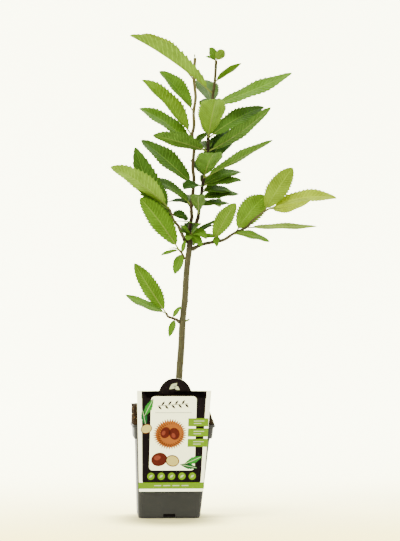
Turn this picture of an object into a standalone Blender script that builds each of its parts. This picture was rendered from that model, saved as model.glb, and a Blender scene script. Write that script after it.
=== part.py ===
"""Sweet chestnut sapling in a square nursery pot, with its soil block and a picture card.

Metres, +Z up, +X to the plant's right and -Y towards its front. The origin is at the middle of
the pot's flat underside. Tables of places are in millimetres and are scaled where they are used.
"""

import math
import random

import bmesh
import bpy
from mathutils import Vector

MM = 0.001
GAP = 0.3  # clearance between neighbouring solids, in millimetres
SEED = 7

# Pot: widths across the flats, outside
POT_HEIGHT = 123.5
POT_RIM = 109.5
POT_COLLAR_FOOT = 103.0
POT_WALL_TOP = 97.0
POT_FOOT = 82.0
POT_WALL = 1.3
POT_FLOOR = 2.0
COLLAR_HEIGHT = 18.5
LIP_HEIGHT = 3.6
LIP_REACH = 1.6
POT_CORNER = 7.0
FOOT_INSET = 3.0  # how much narrower the pot stands than the foot of its wall
FOOT_BEVEL = 1.2
FOOT_ROUND = 3.5
SHOULDER_STEP = 0.6  # the height over which the wall widens into the collar
RIM_BEVEL = 0.8
POT_LEAN = 5.7  # how far the soft pot's top stands to +X of its foot
CORNER_STEPS = 4
SLOT_WIDTH = 16.0
SLOT_HEIGHT = 6.0
SLOT_IN = 6.0  # how far a slot's cutter reaches in from the foot's outside
SLOT_OUT = 5.0

# Root ball: the soil block that fills the pot and stands out of it
BALL_TOP = 150.0
BALL_WIDTH = 109.0
BALL_CRUMBLE = 1.3
BALL_SLUMP = 10.0  # how far the top of the crumbled right side stands in
BALL_BANDS = 4
BALL_EDGE = 1.0  # how far the top edge is drawn in all round
BALL_FOOT_CRUMBLE = 0.3  # the crumble at the rim, as a share of that at the top
POCKET_DEPTH = 4.6
POCKET_SPARE = 1.0  # room round the tongue in its pocket
POCKET_HEAD = 2.6  # how far the pocket reaches over the rim

# Card: hooked over the front rim
CARD_FOOT = 36.5
CARD_TOP = 168.5
CARD_FOOT_WIDTH = 84.0
CARD_TOP_WIDTH = 98.0
CARD_THICK = 0.8
CARD_LEAN = 4.0  # how far its top stands to +X of its foot
CARD_HUMP_WIDTH = 42.0
CARD_HUMP_HEIGHT = 16.5
CARD_HUMP_ASIDE = 1.2  # how far the hump stands to +X of the card's middle
CARD_HUMP_STEPS = 20
TONGUE_WIDTH = 30.0
TONGUE_DROP = 13.0
TONGUE_SLANT = 1.7

# Stems
STEM_SIDES = 7
TRUNK_SIDES = 12
FOOT_TILT = 2.0  # the foot of the leaning trunk tilts by less than this before it is cut flat
TRUNK = [
    (13, 0, 150), (13.2, 0, 154), (13.9, 0, 164), (15, 0, 188), (18, 0, 229), (19.7, 0, 262),
    (22.6, 0, 289), (24.2, 0, 316), (25.8, 0, 336), (28.4, 0, 357), (30.2, 0, 379),
]
TRUNK_FLARE = [13.0, 10.8, 9.7]  # diameters from the soil up, before the even taper
TRUNK_DIAMETER = 9.3
FORK_DIAMETER = 8.0

LIMBS = {
    "left_leader": ([(27.7, 1.7, 380.1), (29.9, 2.5, 390), (32, 3, 400.7)], 5.2, 5.2),
    "right_leader": ([(33, -1, 379.6), (36.8, -1, 389), (40.3, -1, 400.7)], 5.2, 5.2),
    "right_bough": (
        [(34.4, 0, 358.9), (47, -1, 364.6), (64.6, -2, 368), (75.3, -3, 370.7), (84.6, -3, 376.6)],
        4.8,
        4.1,
    ),
    "left_bough": ([(23, -1, 368.4), (17.4, -2, 380.8), (13.6, -3, 388.6)], 5.0, 4.4),
    "low_twig": ([(14, -1.5, 260.8), (11.2, -2, 262.6)], 4.0, 3.9),
}

# The limb that carries each shoot, on whose line the shoot's stem starts
CARRIERS = {
    "left_shoot": "left_leader",
    "right_shoot": "right_leader",
    "right_spray": "right_bough",
    "left_spray": "left_bough",
    "low_spray": "low_twig",
}

# Each leafy shoot: its stem through its nodes, its diameters at the foot and the tip, and its
# leaves. A leaf is (node, (across, away, up) from the node to its tip, width, turn, fold, arch).
# Turn is how far the upper side is turned from the sky to the front and fold how far each half
# rises from flat, in degrees. Arch is how far the midrib rises above the straight line, as a
# share of the length.
SHOOTS = {
    "left_shoot": (
        [(32, 3, 401), (31.6, 3, 410), (31.9, 3, 418), (34.6, 4, 444), (35, 5, 456),
         (33.6, 6, 471), (35.6, 7, 497), (33, 8, 513), (35.4, 8, 526), (35, 9, 545),
         (37.7, 10, 565), (35.6, 11, 589), (37, 12, 619)],
        5.2,
        4.2,
        [
            (1, (0, 80, 28), 18, 0, 16, 0.08),
            (2, (-58, 36, 41), 24, 26, 14, 0.06),
            (2, (-32, 20, 5), 16, 24, 16, 0.08),
            (3, (-70, 22, 64), 39, 36, 12, 0.03),
            (6, (-74, 16, 54), 37, 32, 12, 0.06),
            (6, (19, 22, 22), 14, 24, 20, 0.05),
            (7, (-68, 16, 77), 38, 32, 28, 0.05),
            (9, (-45, 34, 60), 30, 32, 26, 0.06),
            (11, (-72, 12, 63), 32, 30, 36, 0.08),
            (12, (-1, -5, 5), 2, 0, 0, 0.0),
        ],
    ),
    "right_shoot": (
        [(40.5, -1, 401), (41, -1, 405), (42.5, -2, 416), (43.8, -2, 425), (45.2, -3, 435),
         (46, -3, 443), (47.7, -4, 454), (49, -4, 463), (53.3, -5, 490), (53.8, -6, 508),
         (56, -7, 527), (59, -8, 552), (60.3, -8, 568), (62.6, -9, 584), (64.3, -10, 612)],
        5.2,
        4.0,
        [
            (1, (-5, -68, 21), 22, 0, 26, 0.06),
            (2, (42, 20, 5), 22, 30, 10, 0.05),
            (2, (33, 80, 5), 28, 0, 16, 0.08),
            (3, (54, 26, 10), 25, 31, 10, 0.05),
            (4, (43, 24, 3), 28, 34, 10, 0.06),
            (5, (-27, -44, -8), 26, 40, 16, 0.06),
            (5, (54, 10, 9), 26, 33, 10, 0.05),
            (5, (34, 96, 14), 32, 0, 16, 0.08),
            (5, (55, 30, 22), 30, 28, 10, 0.08),
            (6, (92, -16, 50), 26, -20, 16, 0.0),
            (6, (8, -96, 24), 38, 0, 18, 0.05),
            (6, (2, 108, 30), 34, 0, 16, 0.08),
            (8, (-75, -30, 18), 32, -38, 16, 0.02),
            (7, (44, 66, 64), 40, 18, 14, 0.05),
            (8, (87, 16, 62), 32, -34, 10, -0.04),
            (8, (-12, 88, 20), 30, 0, 16, 0.06),
            (9, (4, -92, 40), 44, 0, 30, 0.03),
            (9, (76, 4, 43), 36, 38, 8, 0.05),
            (9, (18, 104, 30), 34, 0, 16, 0.08),
            (10, (8, 92, 44), 34, 0, 16, 0.08),
            (11, (106, -20, 42), 40, 34, 4, -0.02),
            (11, (-8, 84, 46), 34, 0, 14, 0.05),
            (12, (-113, -30, 73), 38, 0, 60, 0.04),
            (13, (34, -22, 22), 16, -18, 30, -0.02),
            (14, (-10, -7, 16), 15, 60, 10, 0.1),
            (14, (11, -6, 13), 15, -60, 10, 0.1),
            (14, (-14, 2, 6), 7, 40, 10, 0.1),
        ],
    ),
    "right_spray": (
        [(84.9, -3, 376.8), (87.2, -3, 378.3), (91.5, -3, 381), (106.3, -3, 387.6), (113, -4, 395.6),
         (121, -4, 402.4), (129.2, -5, 408.4), (137.3, -5, 413)],
        3.9,
        2.5,
        [
            (1, (48, -22, -11), 25, -26, 0, 0.08),
            (2, (43, 22, 51), 37, 74, 12, 0.06),
            (3, (97, 20, 3), 24, 24, 6, 0.0),
            (6, (40, 10, 61), 33, 60, 14, 0.02),
            (7, (90, -6, 14), 32, 40, 12, 0.08),
            (7, (58, 20, 14), 29, -42, 10, -0.05),
        ],
    ),
    "right_tuft": (
        [(61.6, -2, 371), (63.6, -3, 374.4)],
        2.4,
        2.0,
        [
            (0, (29, -24, 50), 28, -42, 14, 0.03),
            (1, (-14, -12, -2), 9, 50, 10, 0.1),
            (1, (1, -15, -14), 9, 60, 10, 0.1),
            (1, (-11, 10, 5), 7, 0, 10, 0.1),
            (1, (6, 12, -5), 7, 0, 10, 0.1),
        ],
    ),
    "left_spray": (
        [(13.4, -3.1, 388.9), (8, -4, 395.6), (5.3, -4, 402.4), (2, -5, 412)],
        4.3,
        2.8,
        [
            (1, (30, -12, -5), 8, 8, 10, 0.04),
            (1, (-20, 4, 14), 13, 40, 10, 0.06),
            (2, (23, 16, -3), 20, 50, 10, 0.1),
            (2, (-16, 12, 15), 10, 34, 10, 0.06),
            (3, (-80, -24, 54), 36, -34, 18, 0.06),
            (3, (-46, 20, 85), 41, 44, 10, -0.2),
        ],
    ),
    "spur_tuft": (
        [(21.2, -1, 346.6), (18.6, -1.6, 352), (14.6, -2, 357)],
        3.6,
        3.0,
        [
            (1, (-10, -6, -28), 15, 80, 10, 0.05),
            (1, (4, -6, 17), 7, 60, 10, 0.05),
            (2, (-53, -18, 68), 35, -44, 14, 0.04),
            (2, (-25, -8, -8), 9, 34, 10, 0.03),
            (2, (-13, 10, 2), 7, 10, 10, 0.08),
        ],
    ),
    "fork_tuft_front": (
        [(30.2, -5.1, 374.5), (30.4, -7.6, 376.5)],
        2.4,
        2.0,
        [
            (1, (-15, -13, 11), 13, 40, 10, 0.1),
            (1, (13, -13, 14), 14, 40, 10, 0.1),
            (1, (20, -15, -6), 17, 50, 10, 0.26),
            (1, (14, -10, -16), 14, 60, 10, 0.1),
            (1, (-17, -14, 4), 9, 40, 10, 0.05),
            (1, (-6, -16, -8), 12, 60, 10, 0.1),
        ],
    ),
    "fork_tuft_back": (
        [(30.2, 5.1, 374.5), (30.4, 7.6, 376.5)],
        2.4,
        2.0,
        [
            (1, (-14, 16, 12), 13, 30, 10, 0.1),
            (1, (20, 14, 4), 14, 30, 10, 0.1),
            (1, (4, 40, 20), 20, 0, 12, 0.1),
            (1, (6, 22, -12), 13, 0, 10, 0.1),
            (1, (43, -4, 23), 12, 24, 10, 0.04),
            (1, (33, 3, 15), 11, 24, 10, 0.04),
        ],
    ),
    "low_spray": (
        [(10.9, -2, 262.8), (9.2, -2.1, 263.6), (5.3, -2, 265), (0, -2, 267), (-2.7, -3, 271.8)],
        3.8,
        3.5,
        [
            (1, (-8, -7, -24), 10, 70, 10, 0.05),
            (2, (12, -8, 15), 9, 46, 10, 0.05),
            (4, (-43, -16, 66), 29, -44, 14, -0.02),
            (4, (-54, 18, 25), 22, 28, 6, -0.02),
        ],
    ),
}

# Leaf form, as shares of the leaf's length or width
PETIOLE_SHARE = 0.08
PETIOLE_WIDTH = 1.7
BLADE_STATIONS = (0.1, 0.25, 0.42, 0.6, 0.76, 0.9)
SMALL_BLADE_STATIONS = (0.16, 0.5, 0.84)
SMALL_LEAF = 38.0  # a leaf shorter than this has fewer stations
LEAF_THICK_SHARE = 0.011
LEAF_THICK_LEAST = 0.9
ROLL_SPREAD = 3.0  # seeded, in degrees

COLOURS = {
    "pot": (0.095, 0.092, 0.073),
    "root_ball": (0.035, 0.022, 0.014),
    "label": (0.82, 0.80, 0.68),
    "bark": (0.16, 0.12, 0.055),
    "leaf": (0.13, 0.26, 0.03),
}
ROUGHNESS = {"pot": 0.5, "root_ball": 0.95, "label": 0.35, "bark": 0.7, "leaf": 0.45}


def clear_scene():
    for item in list(bpy.data.objects):
        bpy.data.objects.remove(item, do_unlink=True)


def material(name, finish):
    made = bpy.data.materials.new(name)
    made.use_nodes = True
    shader = made.node_tree.nodes["Principled BSDF"]
    shader.inputs["Base Color"].default_value = (*COLOURS[finish], 1.0)
    shader.inputs["Roughness"].default_value = ROUGHNESS[finish]
    shader.inputs["Metallic"].default_value = 0.0
    return made


def add_object(name, mesh_work, finish):
    """Turns a bmesh in millimetres into a named object in metres with its own material."""
    bmesh.ops.scale(mesh_work, vec=(MM, MM, MM), verts=mesh_work.verts)
    mesh = bpy.data.meshes.new(name)
    mesh_work.to_mesh(mesh)
    mesh_work.free()
    made = bpy.data.objects.new(name, mesh)
    made.data.materials.append(material(name, finish))
    bpy.context.collection.objects.link(made)
    return made


def loft(rings):
    """A closed solid through rings of points, made by extruding its end face from ring to ring."""
    work = bmesh.new()
    cap = work.faces.new([work.verts.new(place) for place in rings[0]])
    for ring in rings[1:]:
        cap = bmesh.ops.extrude_discrete_faces(work, faces=[cap])["faces"][0]
        for vertex, place in zip(cap.verts, ring):
            vertex.co = place
    bmesh.ops.holes_fill(work, edges=[edge for edge in work.edges if edge.is_boundary])
    bmesh.ops.triangulate(work, faces=work.faces)
    bmesh.ops.recalc_face_normals(work, faces=work.faces)
    return work


def lean_at(height):
    return POT_LEAN * height / POT_HEIGHT


def rounded_square(width, corner, height):
    """Points round a square with round corners, moved over by the pot's lean at this height."""
    reach = width / 2 - corner
    points = []
    for quarter, (side_x, side_y) in enumerate([(1, 1), (-1, 1), (-1, -1), (1, -1)]):
        for step in range(CORNER_STEPS + 1):
            turn = (quarter + step / CORNER_STEPS) * math.pi / 2
            across = side_x * reach + corner * math.cos(turn)
            away = side_y * reach + corner * math.sin(turn)
            points.append(Vector((across + lean_at(height), away, height)))
    return points


def wall_width(height):
    """The pot's outside width below its collar."""
    share = height / (POT_HEIGHT - COLLAR_HEIGHT)
    return POT_FOOT + (POT_WALL_TOP - POT_FOOT) * share


def collar_width(height):
    """The pot's outside width on its collar."""
    share = (height - POT_HEIGHT + COLLAR_HEIGHT) / COLLAR_HEIGHT
    return POT_COLLAR_FOOT + (POT_RIM - 2 * LIP_REACH - POT_COLLAR_FOOT) * share


def cut(target, cutter_name, low, high):
    """Cuts a box, given by two corners in millimetres, out of a solid."""
    work = bmesh.new()
    bmesh.ops.create_cube(work, size=1.0)
    for vertex in work.verts:
        for axis in range(3):
            vertex.co[axis] = (high if vertex.co[axis] > 0 else low)[axis]
    cutter = add_object(cutter_name, work, "pot")
    cutter.hide_render = True
    cutter.display_type = "WIRE"
    boolean = target.modifiers.new(cutter_name, "BOOLEAN")
    boolean.operation = "DIFFERENCE"
    boolean.solver = "EXACT"
    boolean.object = cutter


def make_pot():
    shoulder = POT_HEIGHT - COLLAR_HEIGHT
    lip = POT_HEIGHT - LIP_HEIGHT
    outside = [
        (POT_FOOT - FOOT_INSET, 0.0),
        (POT_FOOT - RIM_BEVEL, FOOT_BEVEL),
        (wall_width(FOOT_ROUND), FOOT_ROUND),
        (wall_width(shoulder), shoulder),
        (POT_COLLAR_FOOT, shoulder + SHOULDER_STEP),
        (collar_width(lip), lip),
        (POT_RIM, lip + RIM_BEVEL),
        (POT_RIM, POT_HEIGHT - RIM_BEVEL),
        (POT_RIM - 2 * SHOULDER_STEP, POT_HEIGHT),
    ]
    inside = [
        (collar_width(POT_HEIGHT) - 2 * POT_WALL, POT_HEIGHT),
        (POT_COLLAR_FOOT - 2 * POT_WALL, shoulder + SHOULDER_STEP + POT_WALL),
        (wall_width(shoulder) - 2 * POT_WALL, shoulder - SHOULDER_STEP),
        (wall_width(POT_FLOOR) - 2 * POT_WALL, POT_FLOOR),
    ]
    rings = [rounded_square(width, POT_CORNER, height) for width, height in outside]
    rings += [rounded_square(width, POT_CORNER - POT_WALL, height) for width, height in inside]
    pot = add_object("pot", loft(rings), "pot")
    half, slot = POT_FOOT / 2, SLOT_WIDTH / 2
    near, far = half - SLOT_IN, half + SLOT_OUT
    cut(pot, "front_slot", (-slot, -far, -1), (slot, -near, SLOT_HEIGHT))
    cut(pot, "back_slot", (-slot, near, -1), (slot, far, SLOT_HEIGHT))
    cut(pot, "left_slot", (-far, -slot, -1), (-near, slot, SLOT_HEIGHT))
    cut(pot, "right_slot", (near, -slot, -1), (far, slot, SLOT_HEIGHT))
    return pot


def make_root_ball():
    """The block follows the pot's inside, then stands out of the rim with a crumbled right side."""
    drift = random.Random(SEED)
    shoulder = POT_HEIGHT - COLLAR_HEIGHT
    inner_gap = 2 * (POT_WALL + GAP)
    corner = POT_CORNER - POT_WALL
    middle = lean_at(POT_HEIGHT)
    inside = [
        (wall_width(POT_FLOOR) - inner_gap, POT_FLOOR + GAP),
        (wall_width(shoulder) - inner_gap, shoulder - GAP / 3),
        (POT_COLLAR_FOOT - inner_gap - GAP, shoulder + 2 * POT_WALL),
        (collar_width(POT_HEIGHT) - inner_gap - GAP, POT_HEIGHT + GAP),
    ]
    rings = [rounded_square(width, corner, height) for width, height in inside]
    proud_foot = POT_HEIGHT + 2 * GAP
    for band in range(BALL_BANDS + 1):
        share = band / BALL_BANDS
        height = proud_foot + (BALL_TOP - proud_foot) * share
        edge = BALL_EDGE if band == BALL_BANDS else 0.0
        ring = rounded_square(BALL_WIDTH, corner, height)
        for point in ring:
            rough = drift.uniform(0.0, BALL_CRUMBLE) * (BALL_FOOT_CRUMBLE + share)
            inward = Vector((lean_at(height), 0, height)) - point
            point += inward.normalized() * (rough + edge)
            if point.x > lean_at(height) + BALL_WIDTH / 4:
                point.x -= BALL_SLUMP * share
        rings.append(ring)
    ball = add_object("root_ball", loft(rings), "root_ball")
    front = -collar_width(POT_HEIGHT) / 2
    side = TONGUE_WIDTH / 2 + POCKET_SPARE
    foot = POT_HEIGHT - TONGUE_DROP - POCKET_SPARE
    low = (middle - side, front - POCKET_DEPTH, foot)
    high = (middle + side, front + POCKET_DEPTH, POT_HEIGHT + POCKET_HEAD)
    cut(ball, "tongue_pocket", low, high)
    return ball


def card_middle(height):
    """The card leans a little less than the pot does."""
    return POT_LEAN - CARD_LEAN * (CARD_TOP - height) / (CARD_TOP - CARD_FOOT)


def hump_rise(share):
    """The height of the card's round hump, from its middle (0) to its sides (1)."""
    return CARD_HUMP_HEIGHT * max(0.0, 1 - share**2.2) ** 0.7


def make_card():
    """A trapezium with a round hump, and a tongue behind it that hooks over the pot's rim."""
    front = -POT_RIM / 2 - GAP - CARD_THICK
    half_foot, half_top, half_hump = CARD_FOOT_WIDTH / 2, CARD_TOP_WIDTH / 2, CARD_HUMP_WIDTH / 2
    outline = [(-half_foot, CARD_FOOT), (half_foot, CARD_FOOT), (half_top, CARD_TOP)]
    for step in range(CARD_HUMP_STEPS + 1):
        along = 1 - 2 * step / CARD_HUMP_STEPS
        outline.append((CARD_HUMP_ASIDE + half_hump * along, CARD_TOP + hump_rise(abs(along))))
    outline.append((-half_top, CARD_TOP))
    rings = [
        [Vector((card_middle(min(height, CARD_TOP)) + across, depth, height))
         for across, height in outline]
        for depth in (front, front + CARD_THICK)
    ]
    card = add_object("label", loft(rings), "label")
    middle = lean_at(POT_HEIGHT)
    bridge_foot = POT_HEIGHT + GAP
    leg = -collar_width(POT_HEIGHT) / 2 + POT_WALL + GAP
    hook = [
        (front + CARD_THICK / 2, bridge_foot + CARD_THICK),
        (front + CARD_THICK / 2, bridge_foot),
        (leg, bridge_foot),
        (leg + TONGUE_SLANT, POT_HEIGHT - TONGUE_DROP),
        (leg + TONGUE_SLANT + CARD_THICK, POT_HEIGHT - TONGUE_DROP),
        (leg + CARD_THICK, bridge_foot + CARD_THICK),
    ]
    sides = [
        [Vector((middle + across, depth, height)) for depth, height in hook]
        for across in (-TONGUE_WIDTH / 2, TONGUE_WIDTH / 2)
    ]
    tongue = add_object("tongue", loft(sides), "label")
    return join("label", card, [tongue])


def frames_along(path, start=None):
    """A direction at each point of a path, and two steady directions across it."""
    frames = []
    for index, point in enumerate(path):
        ahead = path[min(index + 1, len(path) - 1)] - path[max(index - 1, 0)]
        if index == 0 and start:
            ahead = start.copy()
        ahead.normalize()
        across = ahead.cross(Vector((0, 1, 0))).normalized()
        frames.append((point, across, across.cross(ahead)))
    return frames


def stem_solid(points, diameters, sides, start=None):
    path = [Vector(point) for point in points]
    rings = []
    for (centre, across, other), diameter in zip(frames_along(path, start), diameters):
        ring = []
        for side in range(sides):
            turn = 2 * math.pi * side / sides
            ring.append(centre + (across * math.cos(turn) + other * math.sin(turn)) * diameter / 2)
        rings.append(ring)
    return loft(rings)


def even_taper(points, thick, thin):
    last = len(points) - 1
    return [thick + (thin - thick) * index / last for index in range(len(points))]


def make_trunk():
    above = len(TRUNK) - len(TRUNK_FLARE)
    tapered = even_taper(range(above), TRUNK_DIAMETER, FORK_DIAMETER)
    work = stem_solid(TRUNK, TRUNK_FLARE + tapered, TRUNK_SIDES)
    soil = TRUNK[0][2]
    for vertex in work.verts:
        if vertex.co.z < soil + FOOT_TILT:
            vertex.co.z = soil + GAP
    return add_object("trunk", work, "bark")


def blade_share(along):
    """A chestnut leaf's half width, as a share of its widest, from its base to its tip."""
    return math.sin(math.pi * along**0.93) ** 0.62


def leaf_frames(node, reach, arch, turn, stations):
    """The midrib's point, the direction across the blade and the blade's normal at each station."""
    turn = math.radians(turn)
    wanted = Vector((0, -math.sin(turn), math.cos(turn)))
    length = reach.length
    frames = []
    for along in stations:
        bow = 4 * arch * length
        point = node + reach * along + Vector((0, 0, bow * along * (1 - along)))
        ahead = (reach + Vector((0, 0, bow * (1 - 2 * along)))).normalized()
        normal = (wanted - ahead * wanted.dot(ahead)).normalized()
        frames.append((point, ahead.cross(normal), normal))
    return frames


def leaf_solid(node, reach, width, turn, fold, arch):
    """One leaf: a thin stalk that widens into a blade folded along its midrib."""
    reach = Vector(reach)
    length = reach.length
    thick = max(LEAF_THICK_LEAST, LEAF_THICK_SHARE * length)
    stalk_end = PETIOLE_SHARE
    shares = SMALL_BLADE_STATIONS if length < SMALL_LEAF else BLADE_STATIONS
    stations = [0.0, stalk_end] + [stalk_end + (1 - stalk_end) * share for share in shares] + [1.0]
    fold = math.radians(fold)
    rings = []
    for along, frame in zip(stations, leaf_frames(Vector(node), reach, arch, turn, stations)):
        point, across, normal = frame
        share = max(0.0, (along - stalk_end) / (1 - stalk_end))
        half = width / 2 * blade_share(share) if 0 < share < 1 else 0.0
        half = max(half, PETIOLE_WIDTH / 2 if share < 1 else PETIOLE_WIDTH / 5)
        rise = half * math.sin(fold)
        side = across * half * math.cos(fold)
        up = normal * thick / 2
        rings.append([
            point - side + normal * rise + up,
            point + up,
            point + side + normal * rise + up,
            point + side + normal * rise - up,
            point - up,
            point - side + normal * rise - up,
        ])
    return loft(rings)


def join(name, base, others):
    """Joins a solid with others by one union, and removes the others."""
    bucket = bpy.data.collections.new(name + "_pieces")
    bpy.context.scene.collection.children.link(bucket)
    for other in others:
        bpy.context.collection.objects.unlink(other)
        bucket.objects.link(other)
    union = base.modifiers.new("union", "BOOLEAN")
    union.operation = "UNION"
    union.solver = "EXACT"
    union.operand_type = "COLLECTION"
    union.collection = bucket
    whole = bpy.data.meshes.new_from_object(
        base.evaluated_get(bpy.context.evaluated_depsgraph_get())
    )
    base.modifiers.clear()
    base.data = whole
    own = base.data.materials[0]
    base.data.materials.clear()
    base.data.materials.append(own)
    for other in others:
        bpy.data.objects.remove(other, do_unlink=True)
    bpy.data.collections.remove(bucket)
    return base


def make_shoot(name, nodes, thick, thin, leaves, drift):
    """The stem starts 0.3 mm past the end of the limb that carries it, and on that limb's line."""
    nodes = [Vector(node) for node in nodes]
    start = None
    if name in CARRIERS:
        limb_end = [Vector(point) for point in LIMBS[CARRIERS[name]][0][-2:]]
        start = (limb_end[1] - limb_end[0]).normalized()
        nodes[0] = limb_end[1] + start * GAP
    stem = stem_solid(nodes, even_taper(nodes, thick, thin), STEM_SIDES, start)
    base = add_object(name, stem, "leaf")
    blades = []
    for number, (node, reach, width, turn, fold, arch) in enumerate(leaves):
        turn += drift.uniform(-ROLL_SPREAD, ROLL_SPREAD)
        solid = leaf_solid(nodes[node], reach, width, turn, fold, arch)
        blades.append(add_object(f"{name}_leaf_{number}", solid, "leaf"))
    return join(name, base, blades)


clear_scene()
make_pot()
make_root_ball()
make_card()
make_trunk()
for limb_name, (limb_points, limb_thick, limb_thin) in LIMBS.items():
    limb = stem_solid(limb_points, even_taper(limb_points, limb_thick, limb_thin), STEM_SIDES)
    add_object(limb_name, limb, "bark")
roll_drift = random.Random(SEED)
for shoot_name, (shoot_nodes, shoot_thick, shoot_thin, shoot_leaves) in SHOOTS.items():
    make_shoot(shoot_name, shoot_nodes, shoot_thick, shoot_thin, shoot_leaves, roll_drift)
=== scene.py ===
import math
import random

import bmesh
import bpy
from mathutils import Matrix, Vector, noise


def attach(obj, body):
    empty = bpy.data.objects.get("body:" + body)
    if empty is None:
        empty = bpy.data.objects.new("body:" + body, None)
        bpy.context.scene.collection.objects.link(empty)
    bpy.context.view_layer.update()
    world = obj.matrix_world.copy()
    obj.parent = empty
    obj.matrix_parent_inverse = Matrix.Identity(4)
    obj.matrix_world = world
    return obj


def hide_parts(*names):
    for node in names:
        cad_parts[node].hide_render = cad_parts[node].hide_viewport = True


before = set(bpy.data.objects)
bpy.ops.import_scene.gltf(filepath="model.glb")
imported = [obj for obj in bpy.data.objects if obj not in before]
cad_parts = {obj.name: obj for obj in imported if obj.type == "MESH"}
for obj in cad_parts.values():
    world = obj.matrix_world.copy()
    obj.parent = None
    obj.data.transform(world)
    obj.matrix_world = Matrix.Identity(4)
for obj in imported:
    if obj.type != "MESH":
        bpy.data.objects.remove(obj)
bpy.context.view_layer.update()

MM = 0.001


# ---- Stage ----------------------------------------------------------------------------------
# A seamless cove of matt paper runs under and behind the plant, lit by one big soft light from
# the upper left, a weaker one from the right and the pale room. The camera stands well back, a
# little to the left of the card's middle and a little above the rim.
# To the camera the paper is painted brighter than its lamps make it, with the pot's shadow painted
# on it.

CAMERA_BACK = 2.6
CAMERA_HEIGHT = 0.22
CAMERA_TURN = 3.5  # degrees round to the plant's left
AIM_ACROSS = 0.043
AIM_HEIGHT = 0.329
MM_PER_PIXEL = 1.346  # at the stem
IMAGE_TALL = 541
SENSOR = 36.0
COVE_FRONT = -3.2
COVE_BACK = 1.6
COVE_SIDE = 3.0
COVE_TOP = 3.0
COVE_BEND = 0.9
COVE_STEPS = 16
PAPER_PLAIN = "#f3f1e6"
# The paper's colours to the camera, above one: painted light, warmer on the floor, brightest on the
# wall.
PAPER_FLOOR_PAINTED_LIGHT = (1.28, 1.14, 0.44, 1.0)
PAPER_WALL_PAINTED_LIGHT = (2.0, 2.05, 1.5, 1.0)
PAPER_WARMTH_AND_LIGHT_FROM = -0.3
PAPER_WARMTH_AND_LIGHT_TO = 1.1
SHADE_PLACE = (0.0, 0.55, 0.0)  # painted shadow of the pot: a soft oval on the floor in front of it
SHADE_SCALE = (13.0, 9.0, 9.0)
SHADE_FROM = 0.35
SHADE_TO = 1.3
SHADE_DEEP = 0.26
LIGHTS_AIM = (0.03, 0, 0.3)


def rgb(code, alpha=1.0):
    """A hex colour as the linear values that a shader takes."""
    values = [int(code[place:place + 2], 16) / 255 for place in (1, 3, 5)]
    linear = [v / 12.92 if v <= 0.04045 else ((v + 0.055) / 1.055) ** 2.4 for v in values]
    return (*linear, alpha)


def aim(thing, place, target):
    """Puts a camera or a lamp at a place and points it at a target."""
    thing.location = place
    thing.rotation_euler = (Vector(target) - Vector(place)).to_track_quat("-Z", "Y").to_euler()


turn = math.radians(CAMERA_TURN)
camera = bpy.data.objects.new("camera", bpy.data.cameras.new("camera"))
bpy.context.collection.objects.link(camera)
camera.data.sensor_width = SENSOR
camera.data.lens = SENSOR * CAMERA_BACK / (MM_PER_PIXEL * MM) / IMAGE_TALL
camera.data.clip_end = 50
camera_target = Vector((AIM_ACROSS * math.cos(turn), -AIM_ACROSS * math.sin(turn), AIM_HEIGHT))
camera_place = camera_target - Vector((math.sin(turn), math.cos(turn), 0)) * CAMERA_BACK
camera_place.z = CAMERA_HEIGHT
aim(camera, camera_place, camera_target)
bpy.context.scene.camera = camera

LIGHTS = [
    # name, place, size, power, colour
    ("key", (-2.0, -1.5, 2.5), 1.7, 210.0, "#fffaf0"),
    ("fill", (2.3, -1.5, 1.5), 1.8, 49.0, "#f6faff"),
    ("left_panel", (-2.3, 0.7, 0.9), 1.8, 104.0, "#fffdf6"),
    ("right_panel", (2.3, 0.8, 0.9), 1.8, 84.0, "#fffdf6"),
    ("back", (0.4, 1.2, 2.6), 1.4, 72.0, "#ffffff"),
]
for light_name, light_place, light_size, light_power, light_colour in LIGHTS:
    lamp = bpy.data.objects.new(light_name, bpy.data.lights.new(light_name, "AREA"))
    bpy.context.collection.objects.link(lamp)
    lamp.data.size = light_size
    lamp.data.energy = light_power
    lamp.data.color = rgb(light_colour)[:3]
    aim(lamp, light_place, LIGHTS_AIM)


def feed(tree, target, inputs):
    """Fills a node's inputs. One that is given as another node's output is linked to it."""
    for name, value in inputs.items():
        if isinstance(value, bpy.types.NodeSocket):
            tree.links.new(value, target.inputs[name])
        else:
            target.inputs[name].default_value = value


def add_node(tree, kind, inputs=None, **settings):
    """A new shader node with its settings and its inputs."""
    made = tree.nodes.new("ShaderNode" + kind)
    for name, value in settings.items():
        setattr(made, name, value)
    feed(tree, made, inputs or {})
    return made


def do_math(tree, operation, *values):
    """The result of a Math node on one value or two."""
    return add_node(tree, "Math", dict(enumerate(values)), operation=operation).outputs["Value"]


def remap(tree, value, start, end, least=0.0, most=1.0, curve="LINEAR"):
    """A value taken from one range to another and held inside it."""
    inputs = {"Value": value, "From Min": start, "From Max": end, "To Min": least, "To Max": most}
    return add_node(tree, "MapRange", inputs, interpolation_type=curve).outputs["Result"]


def mix_colours(tree, factor, first, second, blend="MIX"):
    """Two colours mixed by a factor."""
    inputs = {"Factor": factor, "A": first, "B": second}
    return add_node(tree, "Mix", inputs, data_type="RGBA", blend_type=blend).outputs["Result"]


room = bpy.data.worlds.new("room")
bpy.context.scene.world = room
room.use_nodes = True
sky = room.node_tree.nodes["Background"]
feed(room.node_tree, sky, {"Color": rgb("#fbfcf8"), "Strength": 2.1})


def plain_material(name, colour, roughness, specular=0.08):
    """A Principled material with one colour, and its tree and shader to build on."""
    made = bpy.data.materials.new(name)
    made.use_nodes = True
    shader = made.node_tree.nodes["Principled BSDF"]
    feed(made.node_tree, shader, {
        "Base Color": rgb(colour), "Roughness": roughness, "Specular IOR Level": specular,
    })
    made.diffuse_color = rgb(colour)
    return made, made.node_tree, shader


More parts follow.
